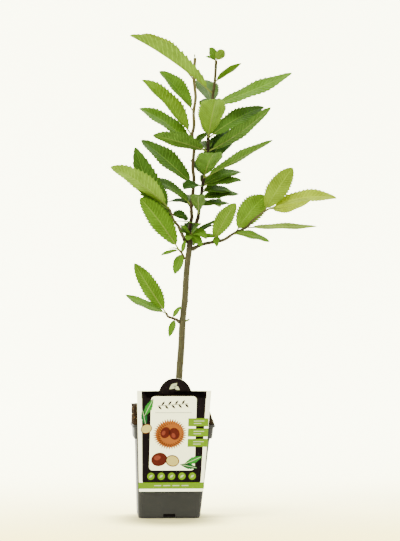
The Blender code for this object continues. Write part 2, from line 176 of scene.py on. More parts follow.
def add_piece(name, work, materials, smooth=True):
    """Turns a bmesh in millimetres into an object in metres at the origin."""
    bmesh.ops.scale(work, vec=(MM, MM, MM), verts=work.verts)
    for face in work.faces:
        face.smooth = smooth
    mesh = bpy.data.meshes.new(name)
    work.to_mesh(mesh)
    work.free()
    piece = bpy.data.objects.new(name, mesh)
    for finish in materials:
        mesh.materials.append(finish)
    bpy.context.collection.objects.link(piece)
    return piece


def verts_of(geom):
    """The vertices in the mixed list that an extrusion gives back."""
    return [item for item in geom if isinstance(item, bmesh.types.BMVert)]


def face_up(sheet):
    """Makes a sheet's faces agree and look up."""
    bmesh.ops.recalc_face_normals(sheet, faces=sheet.faces)
    if sheet.faces[:][0].normal.z < 0:
        bmesh.ops.reverse_faces(sheet, faces=sheet.faces)


def make_cove():
    """A floor sheet whose back edge is swept up into a wall by steps of a quarter turn."""
    work = bmesh.new()
    front, back, side = COVE_FRONT / MM, (COVE_BACK - COVE_BEND) / MM, COVE_SIDE / MM
    bmesh.ops.create_grid(work, x_segments=1, y_segments=1, size=1.0)
    for vertex in work.verts:
        vertex.co.x *= side
        vertex.co.y = back if vertex.co.y > 0 else front
    edge = [e for e in work.edges if all(v.co.y == back for v in e.verts)]
    radius = COVE_BEND / MM
    profile = []
    for step in range(1, COVE_STEPS + 1):
        angle = math.pi / 2 * step / COVE_STEPS
        profile.append((back + radius * math.sin(angle), radius * (1 - math.cos(angle))))
    profile.append((profile[-1][0], COVE_TOP / MM))
    for away, height in profile:
        made = bmesh.ops.extrude_edge_only(work, edges=edge)["geom"]
        for vertex in verts_of(made):
            vertex.co.y = away
            vertex.co.z = height
        edge = [item for item in made if isinstance(item, bmesh.types.BMEdge)]
    face_up(work)
    return work


def paper_material():
    """Pale paper with painted light and a painted pot shadow, warmer on the floor, clear from
    behind.
    """
    made, tree, shader = plain_material("cove_paper", PAPER_PLAIN, 0.9, 0.0)
    place = add_node(tree, "TexCoord").outputs["Object"]
    away = add_node(tree, "SeparateXYZ", {"Vector": place}).outputs["Y"]
    # Painted light: the paper's shown colour runs from the warmer floor to the brighter wall.
    back = remap(tree, away, PAPER_WARMTH_AND_LIGHT_FROM, PAPER_WARMTH_AND_LIGHT_TO)
    shown = mix_colours(tree, back, PAPER_FLOOR_PAINTED_LIGHT, PAPER_WALL_PAINTED_LIGHT)
    # Painted shadow: the colour darkens in a soft oval on the floor in front of the pot.
    oval = add_node(tree, "Mapping", {
        "Vector": place, "Location": SHADE_PLACE, "Scale": SHADE_SCALE,
    }).outputs["Vector"]
    far = add_node(tree, "VectorMath", {0: oval}, operation="LENGTH").outputs["Value"]
    soft = remap(tree, far, SHADE_FROM, SHADE_TO, SHADE_DEEP, curve="SMOOTHSTEP")
    shaded = add_node(tree, "VectorMath", {0: shown, "Scale": soft}, operation="SCALE")
    # Only the camera sees the painted light and shadow; light bouncing off the paper takes its
    # plain colour.
    seen = add_node(tree, "LightPath").outputs["Is Camera Ray"]
    behind = add_node(tree, "NewGeometry").outputs["Backfacing"]
    feed(tree, shader, {
        "Base Color": mix_colours(tree, seen, rgb(PAPER_PLAIN), shaded.outputs["Vector"]),
        "Alpha": do_math(tree, "SUBTRACT", 1.0, behind),
    })
    return made


cove = add_piece("cove", make_cove(), [paper_material()])


# ---- Pot ------------------------------------------------------------------------------------
# A thin-walled square nursery pot, injection moulded in grey-green recycled polypropylene. A
# deeper collar and a rolled lip stiffen its top, its soft wall leans a little, and its foot has
# four drain slots.

POT_HEIGHT = 123.5
POT_RIM = 109.5
POT_COLLAR_FOOT = 103.0
POT_WALL_TOP = 97.0
POT_FOOT = 82.0
POT_WALL = 1.3
POT_FLOOR = 2.0
COLLAR_HEIGHT = 18.5
LIP_HEIGHT = 3.6
LIP_REACH = 1.6
POT_CORNER = 7.0
POT_LEAN = 5.7
POT_CORNER_STEPS = 10
SLOT_WIDTH = 16.0
SLOT_HEIGHT = 6.0


def new_group(name, colours, values, outputs):
    """A node group with its sockets, and its two ends. Each output but Colour is a value."""
    group = bpy.data.node_groups.new(name, "ShaderNodeTree")
    sockets = group.interface
    for socket in colours:
        sockets.new_socket(socket, in_out="INPUT", socket_type="NodeSocketColor")
    for socket, value in values.items():
        made = sockets.new_socket(socket, in_out="INPUT", socket_type="NodeSocketFloat")
        made.default_value = value
    for socket in outputs:
        kind = "NodeSocketColor" if socket == "Colour" else "NodeSocketFloat"
        sockets.new_socket(socket, in_out="OUTPUT", socket_type=kind)
    return group, group.nodes.new("NodeGroupInput").outputs, group.nodes.new("NodeGroupOutput")


def make_mottle_group():
    """Two colours broken into one another by noise, with a fine grain for the bump."""
    values = {"Scale": 60.0, "Amount": 0.5, "Grain": 900.0}
    group, given, result = new_group("mottle", ("Colour", "Second"), values, ("Colour", "Height"))
    place = add_node(group, "TexCoord").outputs["Object"]
    broad = add_node(group, "TexNoise", {"Vector": place, "Scale": given["Scale"], "Detail": 5.0})
    fine = add_node(group, "TexNoise", {"Vector": place, "Scale": given["Grain"], "Detail": 3.0})
    patches = remap(group, broad.outputs["Fac"], 0.35, 0.68)
    share = do_math(group, "MULTIPLY", patches, given["Amount"])
    colour = mix_colours(group, share, given["Colour"], given["Second"])
    feed(group, result, {"Colour": colour, "Height": fine.outputs["Fac"]})
    return group


MOTTLE = make_mottle_group()


def bump_from(tree, height, strength, depth):
    """A normal bent by a height, over a depth in metres."""
    inputs = {"Height": height, "Strength": strength, "Distance": depth}
    return add_node(tree, "Bump", inputs).outputs["Normal"]


def mottled(name, colours, roughness, scale, amount, grain, bump, depth=0.0004, specular=0.08):
    """A finish whose two colours break into one another, with a grain raised by bump."""
    made, tree, shader = plain_material(name, colours[0], roughness, specular)
    pattern = add_node(tree, "Group", {
        "Colour": rgb(colours[0]), "Second": rgb(colours[1]), "Scale": scale, "Amount": amount,
        "Grain": grain,
    }, node_tree=MOTTLE).outputs
    normal = bump_from(tree, pattern["Height"], bump, depth)
    feed(tree, shader, {"Base Color": pattern["Colour"], "Normal": normal})
    return made


def lean_at(height):
    """How far the pot's middle has moved to +X at this height."""
    return POT_LEAN * height / POT_HEIGHT


def round_corners(work, radius, steps):
    """Rounds the corners of a flat shape."""
    bmesh.ops.bevel(
        work, geom=list(work.verts), affect="VERTICES", offset=radius, offset_type="OFFSET",
        segments=steps, profile=0.5, material=-1,
    )


def square_tower(rings, corner_steps):
    """A closed tower of round-cornered squares, given by (width, corner, height) from the foot."""
    work = bmesh.new()
    width, corner, height = rings[0]
    bmesh.ops.create_grid(work, x_segments=1, y_segments=1, size=width / 2)
    round_corners(work, corner, corner_steps)
    face = work.faces[:][0]
    bmesh.ops.translate(work, vec=(lean_at(height), 0, height), verts=face.verts)
    for next_width, next_corner, next_height in rings[1:]:
        flat = (width / 2 - corner, next_width / 2 - next_corner)
        old_middle = Vector((lean_at(height), 0, height))
        new_middle = Vector((lean_at(next_height), 0, next_height))
        face = bmesh.ops.extrude_discrete_faces(work, faces=[face])["faces"][0]
        for vertex in face.verts:
            out = vertex.co - old_middle
            for axis in (0, 1):
                side = math.copysign(1.0, out[axis])
                past = (abs(out[axis]) - flat[0]) / corner if corner else 0.0
                along = out[axis] / flat[0] if past < 0 else side
                out[axis] = along * flat[1] + side * max(past, 0.0) * next_corner
            out.z = 0
            vertex.co = new_middle + out
        width, corner, height = next_width, next_corner, next_height
    bmesh.ops.holes_fill(work, edges=[edge for edge in work.edges if edge.is_boundary])
    bmesh.ops.recalc_face_normals(work, faces=work.faces)
    return work


def pot_width(height):
    """The outside width of the wall, and above the shoulder of the collar."""
    shoulder = POT_HEIGHT - COLLAR_HEIGHT
    if height <= shoulder:
        return POT_FOOT + (POT_WALL_TOP - POT_FOOT) * height / shoulder
    share = (height - shoulder) / COLLAR_HEIGHT
    return POT_COLLAR_FOOT + (POT_RIM - 2 * LIP_REACH - POT_COLLAR_FOOT) * share


def pot_rings():
    """The pot's profile as rings, from its foot up the outside and down the inside."""
    shoulder = POT_HEIGHT - COLLAR_HEIGHT
    lip = POT_HEIGHT - LIP_HEIGHT
    outside = [
        (POT_FOOT - 3.0, 0.0), (POT_FOOT - 1.6, 0.3), (POT_FOOT - 0.7, 1.2),
        (pot_width(3.5), 3.5), (pot_width(shoulder - 1.0), shoulder - 1.0),
        (pot_width(shoulder) + 0.6, shoulder - 0.3), (POT_COLLAR_FOOT - 0.6, shoulder + 0.1),
        (POT_COLLAR_FOOT, shoulder + 0.7), (pot_width(lip) - 0.2, lip - 0.6),
        (pot_width(lip) + 0.6, lip), (POT_RIM - 0.4, lip + 0.3), (POT_RIM, lip + 0.9),
        (POT_RIM, POT_HEIGHT - 0.9), (POT_RIM - 0.3, POT_HEIGHT - 0.3),
        (POT_RIM - 1.2, POT_HEIGHT),
    ]
    inside = [
        (pot_width(POT_HEIGHT) - 2 * POT_WALL + 0.8, POT_HEIGHT),
        (pot_width(POT_HEIGHT) - 2 * POT_WALL, POT_HEIGHT - 0.4),
        (POT_COLLAR_FOOT - 2 * POT_WALL, shoulder + 2.0),
        (pot_width(shoulder) - 2 * POT_WALL, shoulder - 0.6),
        (pot_width(POT_FLOOR) - 2 * POT_WALL, POT_FLOOR),
    ]
    rings = [(width, POT_CORNER, height) for width, height in outside]
    return rings + [(width, POT_CORNER - POT_WALL, height) for width, height in inside]


def cut_slots(pot):
    """Cuts the four drain slots through the foot with boxes that are then thrown away."""
    half = POT_FOOT / 2
    for across, away in ((0, -half), (0, half), (-half, 0), (half, 0)):
        work = bmesh.new()
        bmesh.ops.create_cube(work, size=1.0)
        wide = SLOT_WIDTH if away else 2 * SLOT_HEIGHT
        deep = SLOT_WIDTH if across else 2 * SLOT_HEIGHT
        bmesh.ops.scale(work, vec=(wide, deep, 2 * SLOT_HEIGHT), verts=work.verts)
        bmesh.ops.translate(work, vec=(across, away, 0), verts=work.verts)
        cutter = add_piece("slot_cutter", work, [])
        opening = pot.modifiers.new("slot", "BOOLEAN")
        opening.operation = "DIFFERENCE"
        opening.solver = "EXACT"
        opening.object = cutter
        whole = bpy.data.meshes.new_from_object(
            pot.evaluated_get(bpy.context.evaluated_depsgraph_get())
        )
        pot.modifiers.clear()
        pot.data = whole
        bpy.data.objects.remove(cutter, do_unlink=True)


def shade_by_angle(piece, limit):
    """Smooth faces, with each edge that turns more than the limit kept crisp."""
    work = bmesh.new()
    work.from_mesh(piece.data)
    for face in work.faces:
        face.smooth = True
    for edge in work.edges:
        edge.smooth = edge.calc_face_angle(0.0) < math.radians(limit)
    work.to_mesh(piece.data)
    work.free()


pot_finish = mottled(
    "pot_plastic", ("#1f1f1a", "#1a1a14"), 0.42, 22.0, 0.6, 1400.0, 0.12, specular=0.18
)
pot = add_piece("nursery_pot", square_tower(pot_rings(), POT_CORNER_STEPS), [pot_finish])
cut_slots(pot)
shade_by_angle(pot, 35)
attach(pot, "root")
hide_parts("pot")


# ---- Root ball ------------------------------------------------------------------------------
# A block of dark peaty compost held together by fine roots. It fills the pot and stands proud of
# its rim, level on top, with its right side crumbled to a slope. Lumps, bark chips and pale
# fibres lie in its skin.

BALL_TOP = 150.0
BALL_WIDTH = 109.0
BALL_SLUMP = 10.0
BALL_FOOT = POT_FLOOR + 0.3
BALL_IN_POT = 0.2  # share of the block's rows that lie inside the pot
BALL_SHOWS = POT_HEIGHT - 5.0
SOIL_CUTS = 46
SOIL_SPARE = 1.0  # how far it stays inside the solid's skin in the pot and at its top
SOIL_INSET = 1.4  # the same above the rim, where lumps and crumbs stand out from it
SOIL_LUMPS = 1.5
SOIL_GRIT = 0.7
SOIL_PROUD = 1.2  # the most that a lump stands out
CRUMBS = 900
CRUMB_SIZES = (0.5, 1.5)
SHADED_SOIL_FINISH = 3  # the painted-shade soil's place among the finishes
GAP = 0.3


def ball_half(height):
    """How far the block's faces stand from its middle at this height."""
    if height < POT_HEIGHT + GAP:
        return pot_width(height) / 2 - POT_WALL - SOIL_SPARE
    return BALL_WIDTH / 2 - SOIL_INSET


def soil_height(share):
    """The height of a row of the block, with most rows where the soil shows."""
    if share < BALL_IN_POT:
        return BALL_FOOT + (BALL_SHOWS - BALL_FOOT) * share / BALL_IN_POT
    rise = (share - BALL_IN_POT) / (1 - BALL_IN_POT)
    return BALL_SHOWS + (BALL_TOP - SOIL_SPARE - BALL_SHOWS) * rise


def soil_place(across_share, away_share, height):
    """Where a point of the block lies, given by its shares of the half width, before roughness."""
    half = ball_half(height)
    across, away = across_share * half, away_share * half
    rise = max(0.0, (height - POT_HEIGHT) / (BALL_TOP - POT_HEIGHT))
    if across > half / 2:
        across -= BALL_SLUMP * rise * (across - half / 2) / (half / 2)
    return Vector((across + lean_at(min(height, POT_HEIGHT)), away, height))


def paint(verts, finish):
    """Gives a finish to every face that meets these vertices."""
    for face in {face for vertex in verts for face in vertex.link_faces}:
        face.material_index = finish


def make_soil():
    """The block, roughened where it shows, with crumbs strewn over its top and sides."""
    work = bmesh.new()
    bmesh.ops.create_cube(work, size=1.0)
    bmesh.ops.subdivide_edges(work, edges=work.edges, cuts=SOIL_CUTS, use_grid_fill=True)
    bmesh.ops.recalc_face_normals(work, faces=work.faces)
    for vertex in work.verts:
        point = vertex.co
        vertex.co = soil_place(2 * point.x, 2 * point.y, soil_height(point.z + 0.5))
    work.normal_update()
    for vertex in work.verts:
        if vertex.co.z > POT_HEIGHT + GAP:
            rough = noise.fractal(vertex.co * 0.16, 1.0, 2.2, 4) * SOIL_LUMPS
            rough += noise.noise(vertex.co * 0.55) * SOIL_GRIT
            vertex.co += vertex.normal * min(SOIL_PROUD, rough)
    # Faces inside the pot take a near-black finish: painted shade.
    for face in work.faces:
        buried = face.calc_center_median().z < BALL_SHOWS
        face.material_index = SHADED_SOIL_FINISH if buried else 0
    chance = random.Random(11)
    top = BALL_TOP - SOIL_INSET
    for _ in range(CRUMBS):
        side = chance.choice("tttlrfb")
        height = chance.uniform(POT_HEIGHT + SOIL_LUMPS, top)
        across, away = chance.uniform(-1, 1), chance.uniform(-1, 1)
        if side == "t":
            height = top
        if side in "lr":
            across = -1.0 if side == "l" else 1.0
        if side in "fb":
            away = -1.0 if side == "f" else 1.0
        spot = soil_place(across, away, height)
        size = chance.uniform(*CRUMB_SIZES)
        shape = Matrix.Translation(spot) @ Matrix.Rotation(
            chance.uniform(0, math.pi), 4, Vector((chance.random(), 1, chance.random()))
        ) @ Matrix.Diagonal((size, size * chance.uniform(0.4, 1.0), size * 0.6, 1.0))
        made = bmesh.ops.create_icosphere(work, subdivisions=1, radius=1.0, matrix=shape)
        paint(made["verts"], chance.choice((0, 0, 1, 1, 2)))
    return work


SOIL_FINISHES = [
    # name, two colours, roughness, scale, amount, grain, bump and its depth
    ("soil_dark", ("#100a04", "#2c1f0f"), 0.95, 260.0, 0.9, 1600.0, 0.6, 0.001),
    ("soil_brown", ("#24180a", "#3b2814"), 0.95, 400.0, 0.6, 1600.0, 0.4, 0.0006),
    ("soil_fibre", ("#5c4523", "#2a1d0c"), 0.9, 300.0, 0.5, 1600.0, 0.3, 0.0006),
    # The soil inside the pot, painted near black as the shade there.
    ("soil_painted_shade", ("#060302", "#0a0603"), 0.9, 260.0, 0.9, 1600.0, 0.6, 0.001),
]
soil = add_piece("soil_block", make_soil(), [mottled(*row) for row in SOIL_FINISHES])
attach(soil, "root")
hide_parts("root_ball")


# ---- Trunk and limbs ------------------------------------------------------------------------
# The young stem rises from a slight flare at the soil, leans and tapers to its fork. Its bark is
# smooth and olive with pale pores, browner towards the top. Two leaders and two side boughs
# start round the fork, and a short twig low on the left.

BARK_SIDES = 24
BARK_STEP = 1.2  # how far apart the rings of a stem are, in millimetres
TRUNK = [
    (13, 0, 150), (13.2, 0, 154), (13.9, 0, 164), (15, 0, 188), (18, 0, 229), (19.7, 0, 262),
    (22.6, 0, 289), (24.2, 0, 316), (25.8, 0, 336), (28.4, 0, 357), (30.2, 0, 379),
]
TRUNK_FLARE = [13.0, 10.8, 9.7]  # its widths from the soil up, before it tapers evenly
TRUNK_WIDTH = 9.3
FORK_WIDTH = 8.0
LIMBS = {
    "left_leader": ([(27.7, 1.7, 380.1), (29.9, 2.5, 390), (32, 3, 400.7)], 5.2, 5.2),
    "right_leader": ([(33, -1, 379.6), (36.8, -1, 389), (40.3, -1, 400.7)], 5.2, 5.2),
    "right_bough": (
        [(34.4, 0, 358.9), (47, -1, 364.6), (64.6, -2, 368), (75.3, -3, 370.7), (84.6, -3, 376.6)],
        4.8, 4.1,
    ),
    "left_bough": ([(23, -1, 368.4), (17.4, -2, 380.8), (13.6, -3, 388.6)], 5.0, 4.4),
    "low_twig": ([(14, -1.5, 260.8), (11.2, -2, 262.6)], 4.0, 3.9),
}
TRUNK_BUDS = [
    # height, degrees round from the front towards +X, size
    (306, 78, 2.0), (357, -74, 2.2), (232, 96, 1.6), (278, -95, 1.7), (336, 30, 1.5),
    (250, 60, 1.4), (204, -80, 1.4), (372, 64, 1.8), (288, 84, 2.4), (194, 84, 2.0),
]
TRUNK_STUB = [(22.6, -1.0, 260.8), (25.4, -1.4, 261.6), (28.8, -1.8, 263.4)]
COLLAR_SIDES = 14
TWIG_SIDES = 10
BARK_STREAK = "#6a5c46"
BARK_STREAK_SCALE = 900.0
BARK_PORE = "#645e43"
BARK_PORE_SCALE = 420.0
SET_IN = 3.0  # how far a limb's wood reaches back into what carries it
COLLARS = {
    # how far each limb's collar reaches along it and its width, at the trunk and at its end
    "left_leader": (4.0, 6.6, 5.5), "right_leader": (4.0, 6.6, 5.5), "right_bough": (4.5, 6.6, 5.2),
    "left_bough": (4.0, 6.2, 5.4), "low_twig": (1.6, 5.2, 4.3),
}


def smooth_path(points, widths, step):
    """Points and widths about a step apart on a smooth curve through the given ones."""
    points = [Vector(point) for point in points]
    path, thick = [], []
    for index in range(len(points) - 1):
        before = points[max(index - 1, 0)]
        after = points[min(index + 2, len(points) - 1)]
        a, b = points[index], points[index + 1]
        count = max(2, round((b - a).length / step))
        for part in range(count):
            t = part / count
            bend = 2 * a + (b - before) * t + (2 * before - 5 * a + 4 * b - after) * t * t
            path.append((bend + (3 * a - before - 3 * b + after) * t ** 3) / 2)
            thick.append(widths[index] + (widths[index + 1] - widths[index]) * t)
    return path + [points[-1]], thick + [widths[-1]]


def heading(path, index):
    """The direction of a path at one of its points."""
    return (path[min(index + 1, len(path) - 1)] - path[max(index - 1, 0)]).normalized()


def even_taper(thick, thin, count):
    """Widths that change evenly from the first of so many points to the last."""
    return [thick + (thin - thick) * i / (count - 1) for i in range(count)]


def ring_frame(path, index):
    """A matrix that stands a flat ring across the path at this point."""
    ahead = heading(path, index)
    across = ahead.cross(Vector((0, 1, 0))).normalized()
    turned = Matrix((across, ahead.cross(across), ahead)).transposed().to_4x4()
    return Matrix.Translation(path[index]) @ turned


def tube(work, path, widths, sides, finish=0):
    """A capped tube along a path, drawn out ring by ring from a circle."""
    frame_here = ring_frame(path, 0)
    made = bmesh.ops.create_circle(
        work, cap_ends=True, segments=sides, radius=widths[0] / 2, matrix=frame_here
    )["verts"]
    face = made[0].link_faces[0]
    all_verts = list(made)
    for index in range(1, len(path)):
        frame_next = ring_frame(path, index)
        face = bmesh.ops.extrude_discrete_faces(work, faces=[face])["faces"][0]
        grow = widths[index] / widths[index - 1]
        move = frame_next @ Matrix.Diagonal((grow, grow, grow, 1)) @ frame_here.inverted()
        bmesh.ops.transform(work, matrix=move, verts=face.verts)
        all_verts += face.verts
        frame_here = frame_next
    edges = {edge for vertex in all_verts for edge in vertex.link_edges if edge.is_boundary}
    bmesh.ops.holes_fill(work, edges=list(edges))
    faces = {face for vertex in all_verts for face in vertex.link_faces}
    bmesh.ops.recalc_face_normals(work, faces=list(faces))
    paint(all_verts, finish)
    return all_verts


def roughen(verts, size, streak, depth, seed):
    """Moves a stem's skin in and out: long streaks, small pores and slow swellings."""
    for vertex in verts:
        spot = vertex.co + Vector((seed * 7.3, 0, 0))
        streaks = noise.noise(Vector((spot.x * size, spot.y * size, spot.z * streak)))
        pores = max(0.0, noise.noise(spot * 1.1) - 0.32) * 1.6
        swell = noise.noise(Vector((seed, 0, spot.z * 0.05)))
        vertex.co += vertex.normal * depth * (streaks * 0.9 + pores + swell * 0.8)


def bud(work, place, out, up, size, finish):
    """A short egg-shaped bud pressed against the stem, with its point up."""
    side = out.cross(up).normalized()
    turned = Matrix((side, out, up)).transposed().to_4x4()
    shape = Matrix.Translation(place) @ turned
    shape @= Matrix.Diagonal((size * 0.5, size * 0.45, size * 0.8, 1))
    made = bmesh.ops.create_uvsphere(work, u_segments=10, v_segments=8, radius=1.0, matrix=shape)
    for vertex in made["verts"]:
        lift = max(0.0, (vertex.co - place).dot(up) / (size * 0.8))
        vertex.co += (place - vertex.co).project(side) * 0.6 * lift - out * size * 0.2 * lift
    paint(made["verts"], finish)


def make_bark_group():
    """Bark that changes from one colour to another up the stem, with pale pores and streaks."""
    values = {"From": 0.0, "To": 1.0}
    group, given, result = new_group("bark", ("Low", "High"), values, ("Colour", "Height"))
    place = add_node(group, "TexCoord").outputs["Object"]
    height = add_node(group, "SeparateXYZ", {"Vector": place}).outputs["Z"]
    rise = remap(group, height, given["From"], given["To"], curve="SMOOTHSTEP")
    stretched = add_node(group, "Mapping", {"Vector": place, "Scale": (1.0, 1.0, 0.12)})
    streaks = add_node(group, "TexNoise", {
        "Vector": stretched.outputs["Vector"], "Scale": BARK_STREAK_SCALE, "Detail": 4.0,
    }).outputs["Fac"]
    pores = add_node(group, "TexVoronoi", {"Vector": place, "Scale": BARK_PORE_SCALE})
    pale = remap(group, pores.outputs["Distance"], 0.22, 0.1, most=0.6)
    colour = mix_colours(group, rise, given["Low"], given["High"])
    colour = mix_colours(group, streaks, colour, rgb(BARK_STREAK), "MULTIPLY")
    colour = mix_colours(group, pale, colour, rgb(BARK_PORE))
    feed(group, result, {"Colour": colour, "Height": streaks})
    return group


BARK = make_bark_group()


def bark_material(name, low, high, low_height, high_height):
    """A stem's bark, with its low colour, its high colour and the heights between them."""
    made, tree, shader = plain_material(name, low, 0.62, 0.04)
    pattern = add_node(tree, "Group", {
        "Low": rgb(low), "High": rgb(high), "From": low_height * MM, "To": high_height * MM,
    }, node_tree=BARK).outputs
    normal = bump_from(tree, pattern["Height"], 0.5, 0.0006)
    feed(tree, shader, {"Base Color": pattern["Colour"], "Normal": normal})
    return made


def on_stem(path, widths, height, angle):
    """The place on the skin, the outward and the upward direction at a height and angle."""
    index = min(range(len(path)), key=lambda place: abs(path[place].z - height))
    turned = math.radians(angle)
    out = Vector((math.sin(turned), -math.cos(turned), 0))
    return path[index] + out * widths[index] * 0.46, out, heading(path, index)


trunk_bark = bark_material("trunk_bark", "#4c4a31", "#221a0d", 350, 376)
limb_bark = bark_material("limb_bark", "#423320", "#2b2111", 366, 384)
bough_bark = bark_material("bough_bark", "#3c3c24", "#615b3f", 362, 386)
bud_brown = mottled("bud_brown", ("#362616", "#454222"), 0.5, 500.0, 0.6, 2000.0, 0.2)

work = bmesh.new()
tapered = even_taper(TRUNK_WIDTH, FORK_WIDTH, len(TRUNK) - len(TRUNK_FLARE))
trunk_thick = TRUNK_FLARE + [round(width, 2) for width in tapered]
trunk_path, trunk_widths = smooth_path(TRUNK, trunk_thick, BARK_STEP)
trunk_verts = tube(work, trunk_path, trunk_widths, BARK_SIDES)
work.normal_update()
roughen(trunk_verts, size=0.9, streak=0.12, depth=0.18, seed=1)
for vertex in trunk_verts:
    vertex.co.z = max(vertex.co.z, BALL_TOP + GAP)
for height, angle, size in TRUNK_BUDS:
    place, out, ahead = on_stem(trunk_path, trunk_widths, height, angle)
    bud(work, place, out, ahead, size, 1)
for limb_name, (collar_reach, collar_foot, collar_end) in COLLARS.items():
    first, second = [Vector(point) for point in LIMBS[limb_name][0][:2]]
    ahead = (second - first).normalized()
    collar = [first + ahead * step for step in (-SET_IN, 0.0, collar_reach * 0.5, collar_reach)]
    even = (collar_foot + collar_end) / 2
    tube(work, collar, [collar_foot, collar_foot, even, collar_end], COLLAR_SIDES)
tube(work, [Vector(point) for point in TRUNK_STUB], [3.0, 2.8, 2.6], TWIG_SIDES, 2)
stub_green = mottled("stub_green", ("#52661e", "#454e22"), 0.5, 300.0, 0.7, 2000.0, 0.1)
trunk = add_piece("trunk_stem", work, [trunk_bark, bud_brown, stub_green])
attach(trunk, "root")
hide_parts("trunk")

for limb_name, (limb_points, limb_thick, limb_thin) in LIMBS.items():
    work = bmesh.new()
    first, second = [Vector(point) for point in limb_points[:2]]
    limb_points = [first - (second - first).normalized() * SET_IN, *limb_points[1:]]
    limb_widths = even_taper(limb_thick, limb_thin, len(limb_points))
    path, widths = smooth_path(limb_points, limb_widths, BARK_STEP * 0.7)
    verts = tube(work, path, widths, BARK_SIDES // 2)
    work.normal_update()
    roughen(verts, size=1.4, streak=0.3, depth=0.16, seed=len(limb_name))
    bark = bough_bark if limb_name.endswith("bough") else limb_bark
    limb = add_piece(limb_name + "_stem", work, [bark])
    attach(limb, "root")
    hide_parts(limb_name)


# ---- Left leader's shoot --------------------------------------------------------------------
# A shoot of this year's growth: a thin green-brown stem with a toothed leaf at each bud. A leaf
# is a stalk that runs on as the midrib, with a blade folded along it and quilted between its
# side veins, each of which ends in a tooth.

CARRIERS = {
    "left_shoot": "left_leader",
    "right_shoot": "right_leader",
    "right_spray": "right_bough",
    "left_spray": "left_bough",
    "low_spray": "low_twig",
}
PETIOLE_SHARE = 0.08
LEAF_TEETH = 16
SMALL_LEAF = 38.0
SMALL_LEAF_TEETH = 8
TOOTH_STEPS = (0.0, 0.45, 0.85)
TOOTH_RISE = (0.0, 0.55, 1.0)
TOOTH_DEPTH = 0.15
LEAF_ACROSS = 10
LEAF_THICK = 0.45
BLADE_SKEW = 0.93  # below 1 the blade is widest past its middle
BLADE_FULLNESS = 0.66
BLADE_ENDS = (0.4, 0.12)  # the least half width, along the blade and at its tip
RIB_END = 0.93
RIB_SIDES = 6
RIB_WIDTHS = (1.2, 2.4, 0.032)  # its least and its most, and how it grows with the blade
BUD_LEAF = 12.0  # a leaf wider than this has a bud where it joins the shoot
BUD_RISE = 2.2
BUD_SIZE = 1.7
QUILT_DEPTH = 0.06
WAVE_TURN = 12.0
WAVE_RISE = 0.07
SIDE_VEINS = 17.0
SIDE_VEIN_EDGES = (0.16, 0.03)
MIDRIB_EDGES = (0.09, 0.02)
VEIN_SWEEP = 1.9  # how many teeth further on a side vein ends than it starts
ROLL_SPREAD = 3.0
roll_drift = random.Random(7)
leaf_chance = random.Random(23)

# Each tint is (upper side, under side)
# The tints are partly the leaves' own colours and partly painted shade: darker ones stand for
# shade.
LEAF_TINTS = {
    "yellow": ("#7b8d0f", "#879a16"),
    "pale": ("#647b16", "#6f871f"),
    "lime": ("#587717", "#617d1f"),
    "spring": ("#4e6d16", "#547019"),
    "fresh": ("#456515", "#415f0f"),
    "green": ("#375316", "#425e1d"),
    "deep": ("#355015", "#3f561f"),
    "dark": ("#253f10", "#354a1e"),
}


def make_vein_group():
    """A blade's colour with its pale midrib and side veins, laid out on the leaf's own map."""
    colours, values = ("Blade", "Second", "Vein"), {"Teeth": SIDE_VEINS, "Strength": 0.6}
    group, given, result = new_group("leaf_veins", colours, values, ("Colour", "Height"))
    leaf_map = add_node(group, "UVMap", uv_map="leaf").outputs["UV"]
    split = add_node(group, "SeparateXYZ", {"Vector": leaf_map}).outputs
    half = do_math(group, "ABSOLUTE", do_math(group, "SUBTRACT", split["Y"], 0.5))
    aside = do_math(group, "MULTIPLY", half, 2.0)
    along = do_math(group, "MULTIPLY", split["X"], given["Teeth"])
    count = do_math(group, "SUBTRACT", along, do_math(group, "MULTIPLY", aside, VEIN_SWEEP))
    between = do_math(group, "SUBTRACT", do_math(group, "FRACT", count), 0.5)
    near = do_math(group, "ABSOLUTE", between)
    side_vein = remap(group, near, *SIDE_VEIN_EDGES, curve="SMOOTHSTEP")
    midrib = remap(group, aside, *MIDRIB_EDGES, curve="SMOOTHSTEP")
    vein = do_math(group, "MAXIMUM", do_math(group, "MULTIPLY", side_vein, 0.7), midrib)
    place = add_node(group, "TexCoord").outputs["Object"]
    blotch = add_node(group, "TexNoise", {"Vector": place, "Scale": 70.0, "Detail": 4.0})
    patches = remap(group, blotch.outputs["Fac"], 0.35, 0.65)
    blade = mix_colours(group, patches, given["Blade"], given["Second"])
    share = do_math(group, "MULTIPLY", vein, given["Strength"])
    colour = mix_colours(group, share, blade, given["Vein"])
    feed(group, result, {"Colour": colour, "Height": vein})
    return group


LEAF_VEINS = make_vein_group()


def shade(code, factor):
    """A hex colour made lighter or darker."""
    values = [min(255, round(int(code[place:place + 2], 16) * factor)) for place in (1, 3, 5)]
    return "#%02x%02x%02x" % tuple(values)


def leaf_side(name, colour, roughness, vein_strength, relief_strength):
    """The finish of one side of a leaf, with veins paler than its blade."""
    made, tree, shader = plain_material(name, colour, roughness, 0.02)
    veins = add_node(tree, "Group", {
        "Blade": rgb(colour), "Second": rgb(shade(colour, 0.86)),
        "Vein": rgb(shade(colour, 1.3)), "Strength": vein_strength,
    }, node_tree=LEAF_VEINS).outputs
    normal = bump_from(tree, veins["Height"], relief_strength, 0.0008)
    feed(tree, shader, {"Base Color": veins["Colour"], "Normal": normal})
    return made


shoot_bark = mottled("shoot_bark", ("#3a3218", "#3d3a1c"), 0.55, 400.0, 0.7, 2000.0, 0.2)
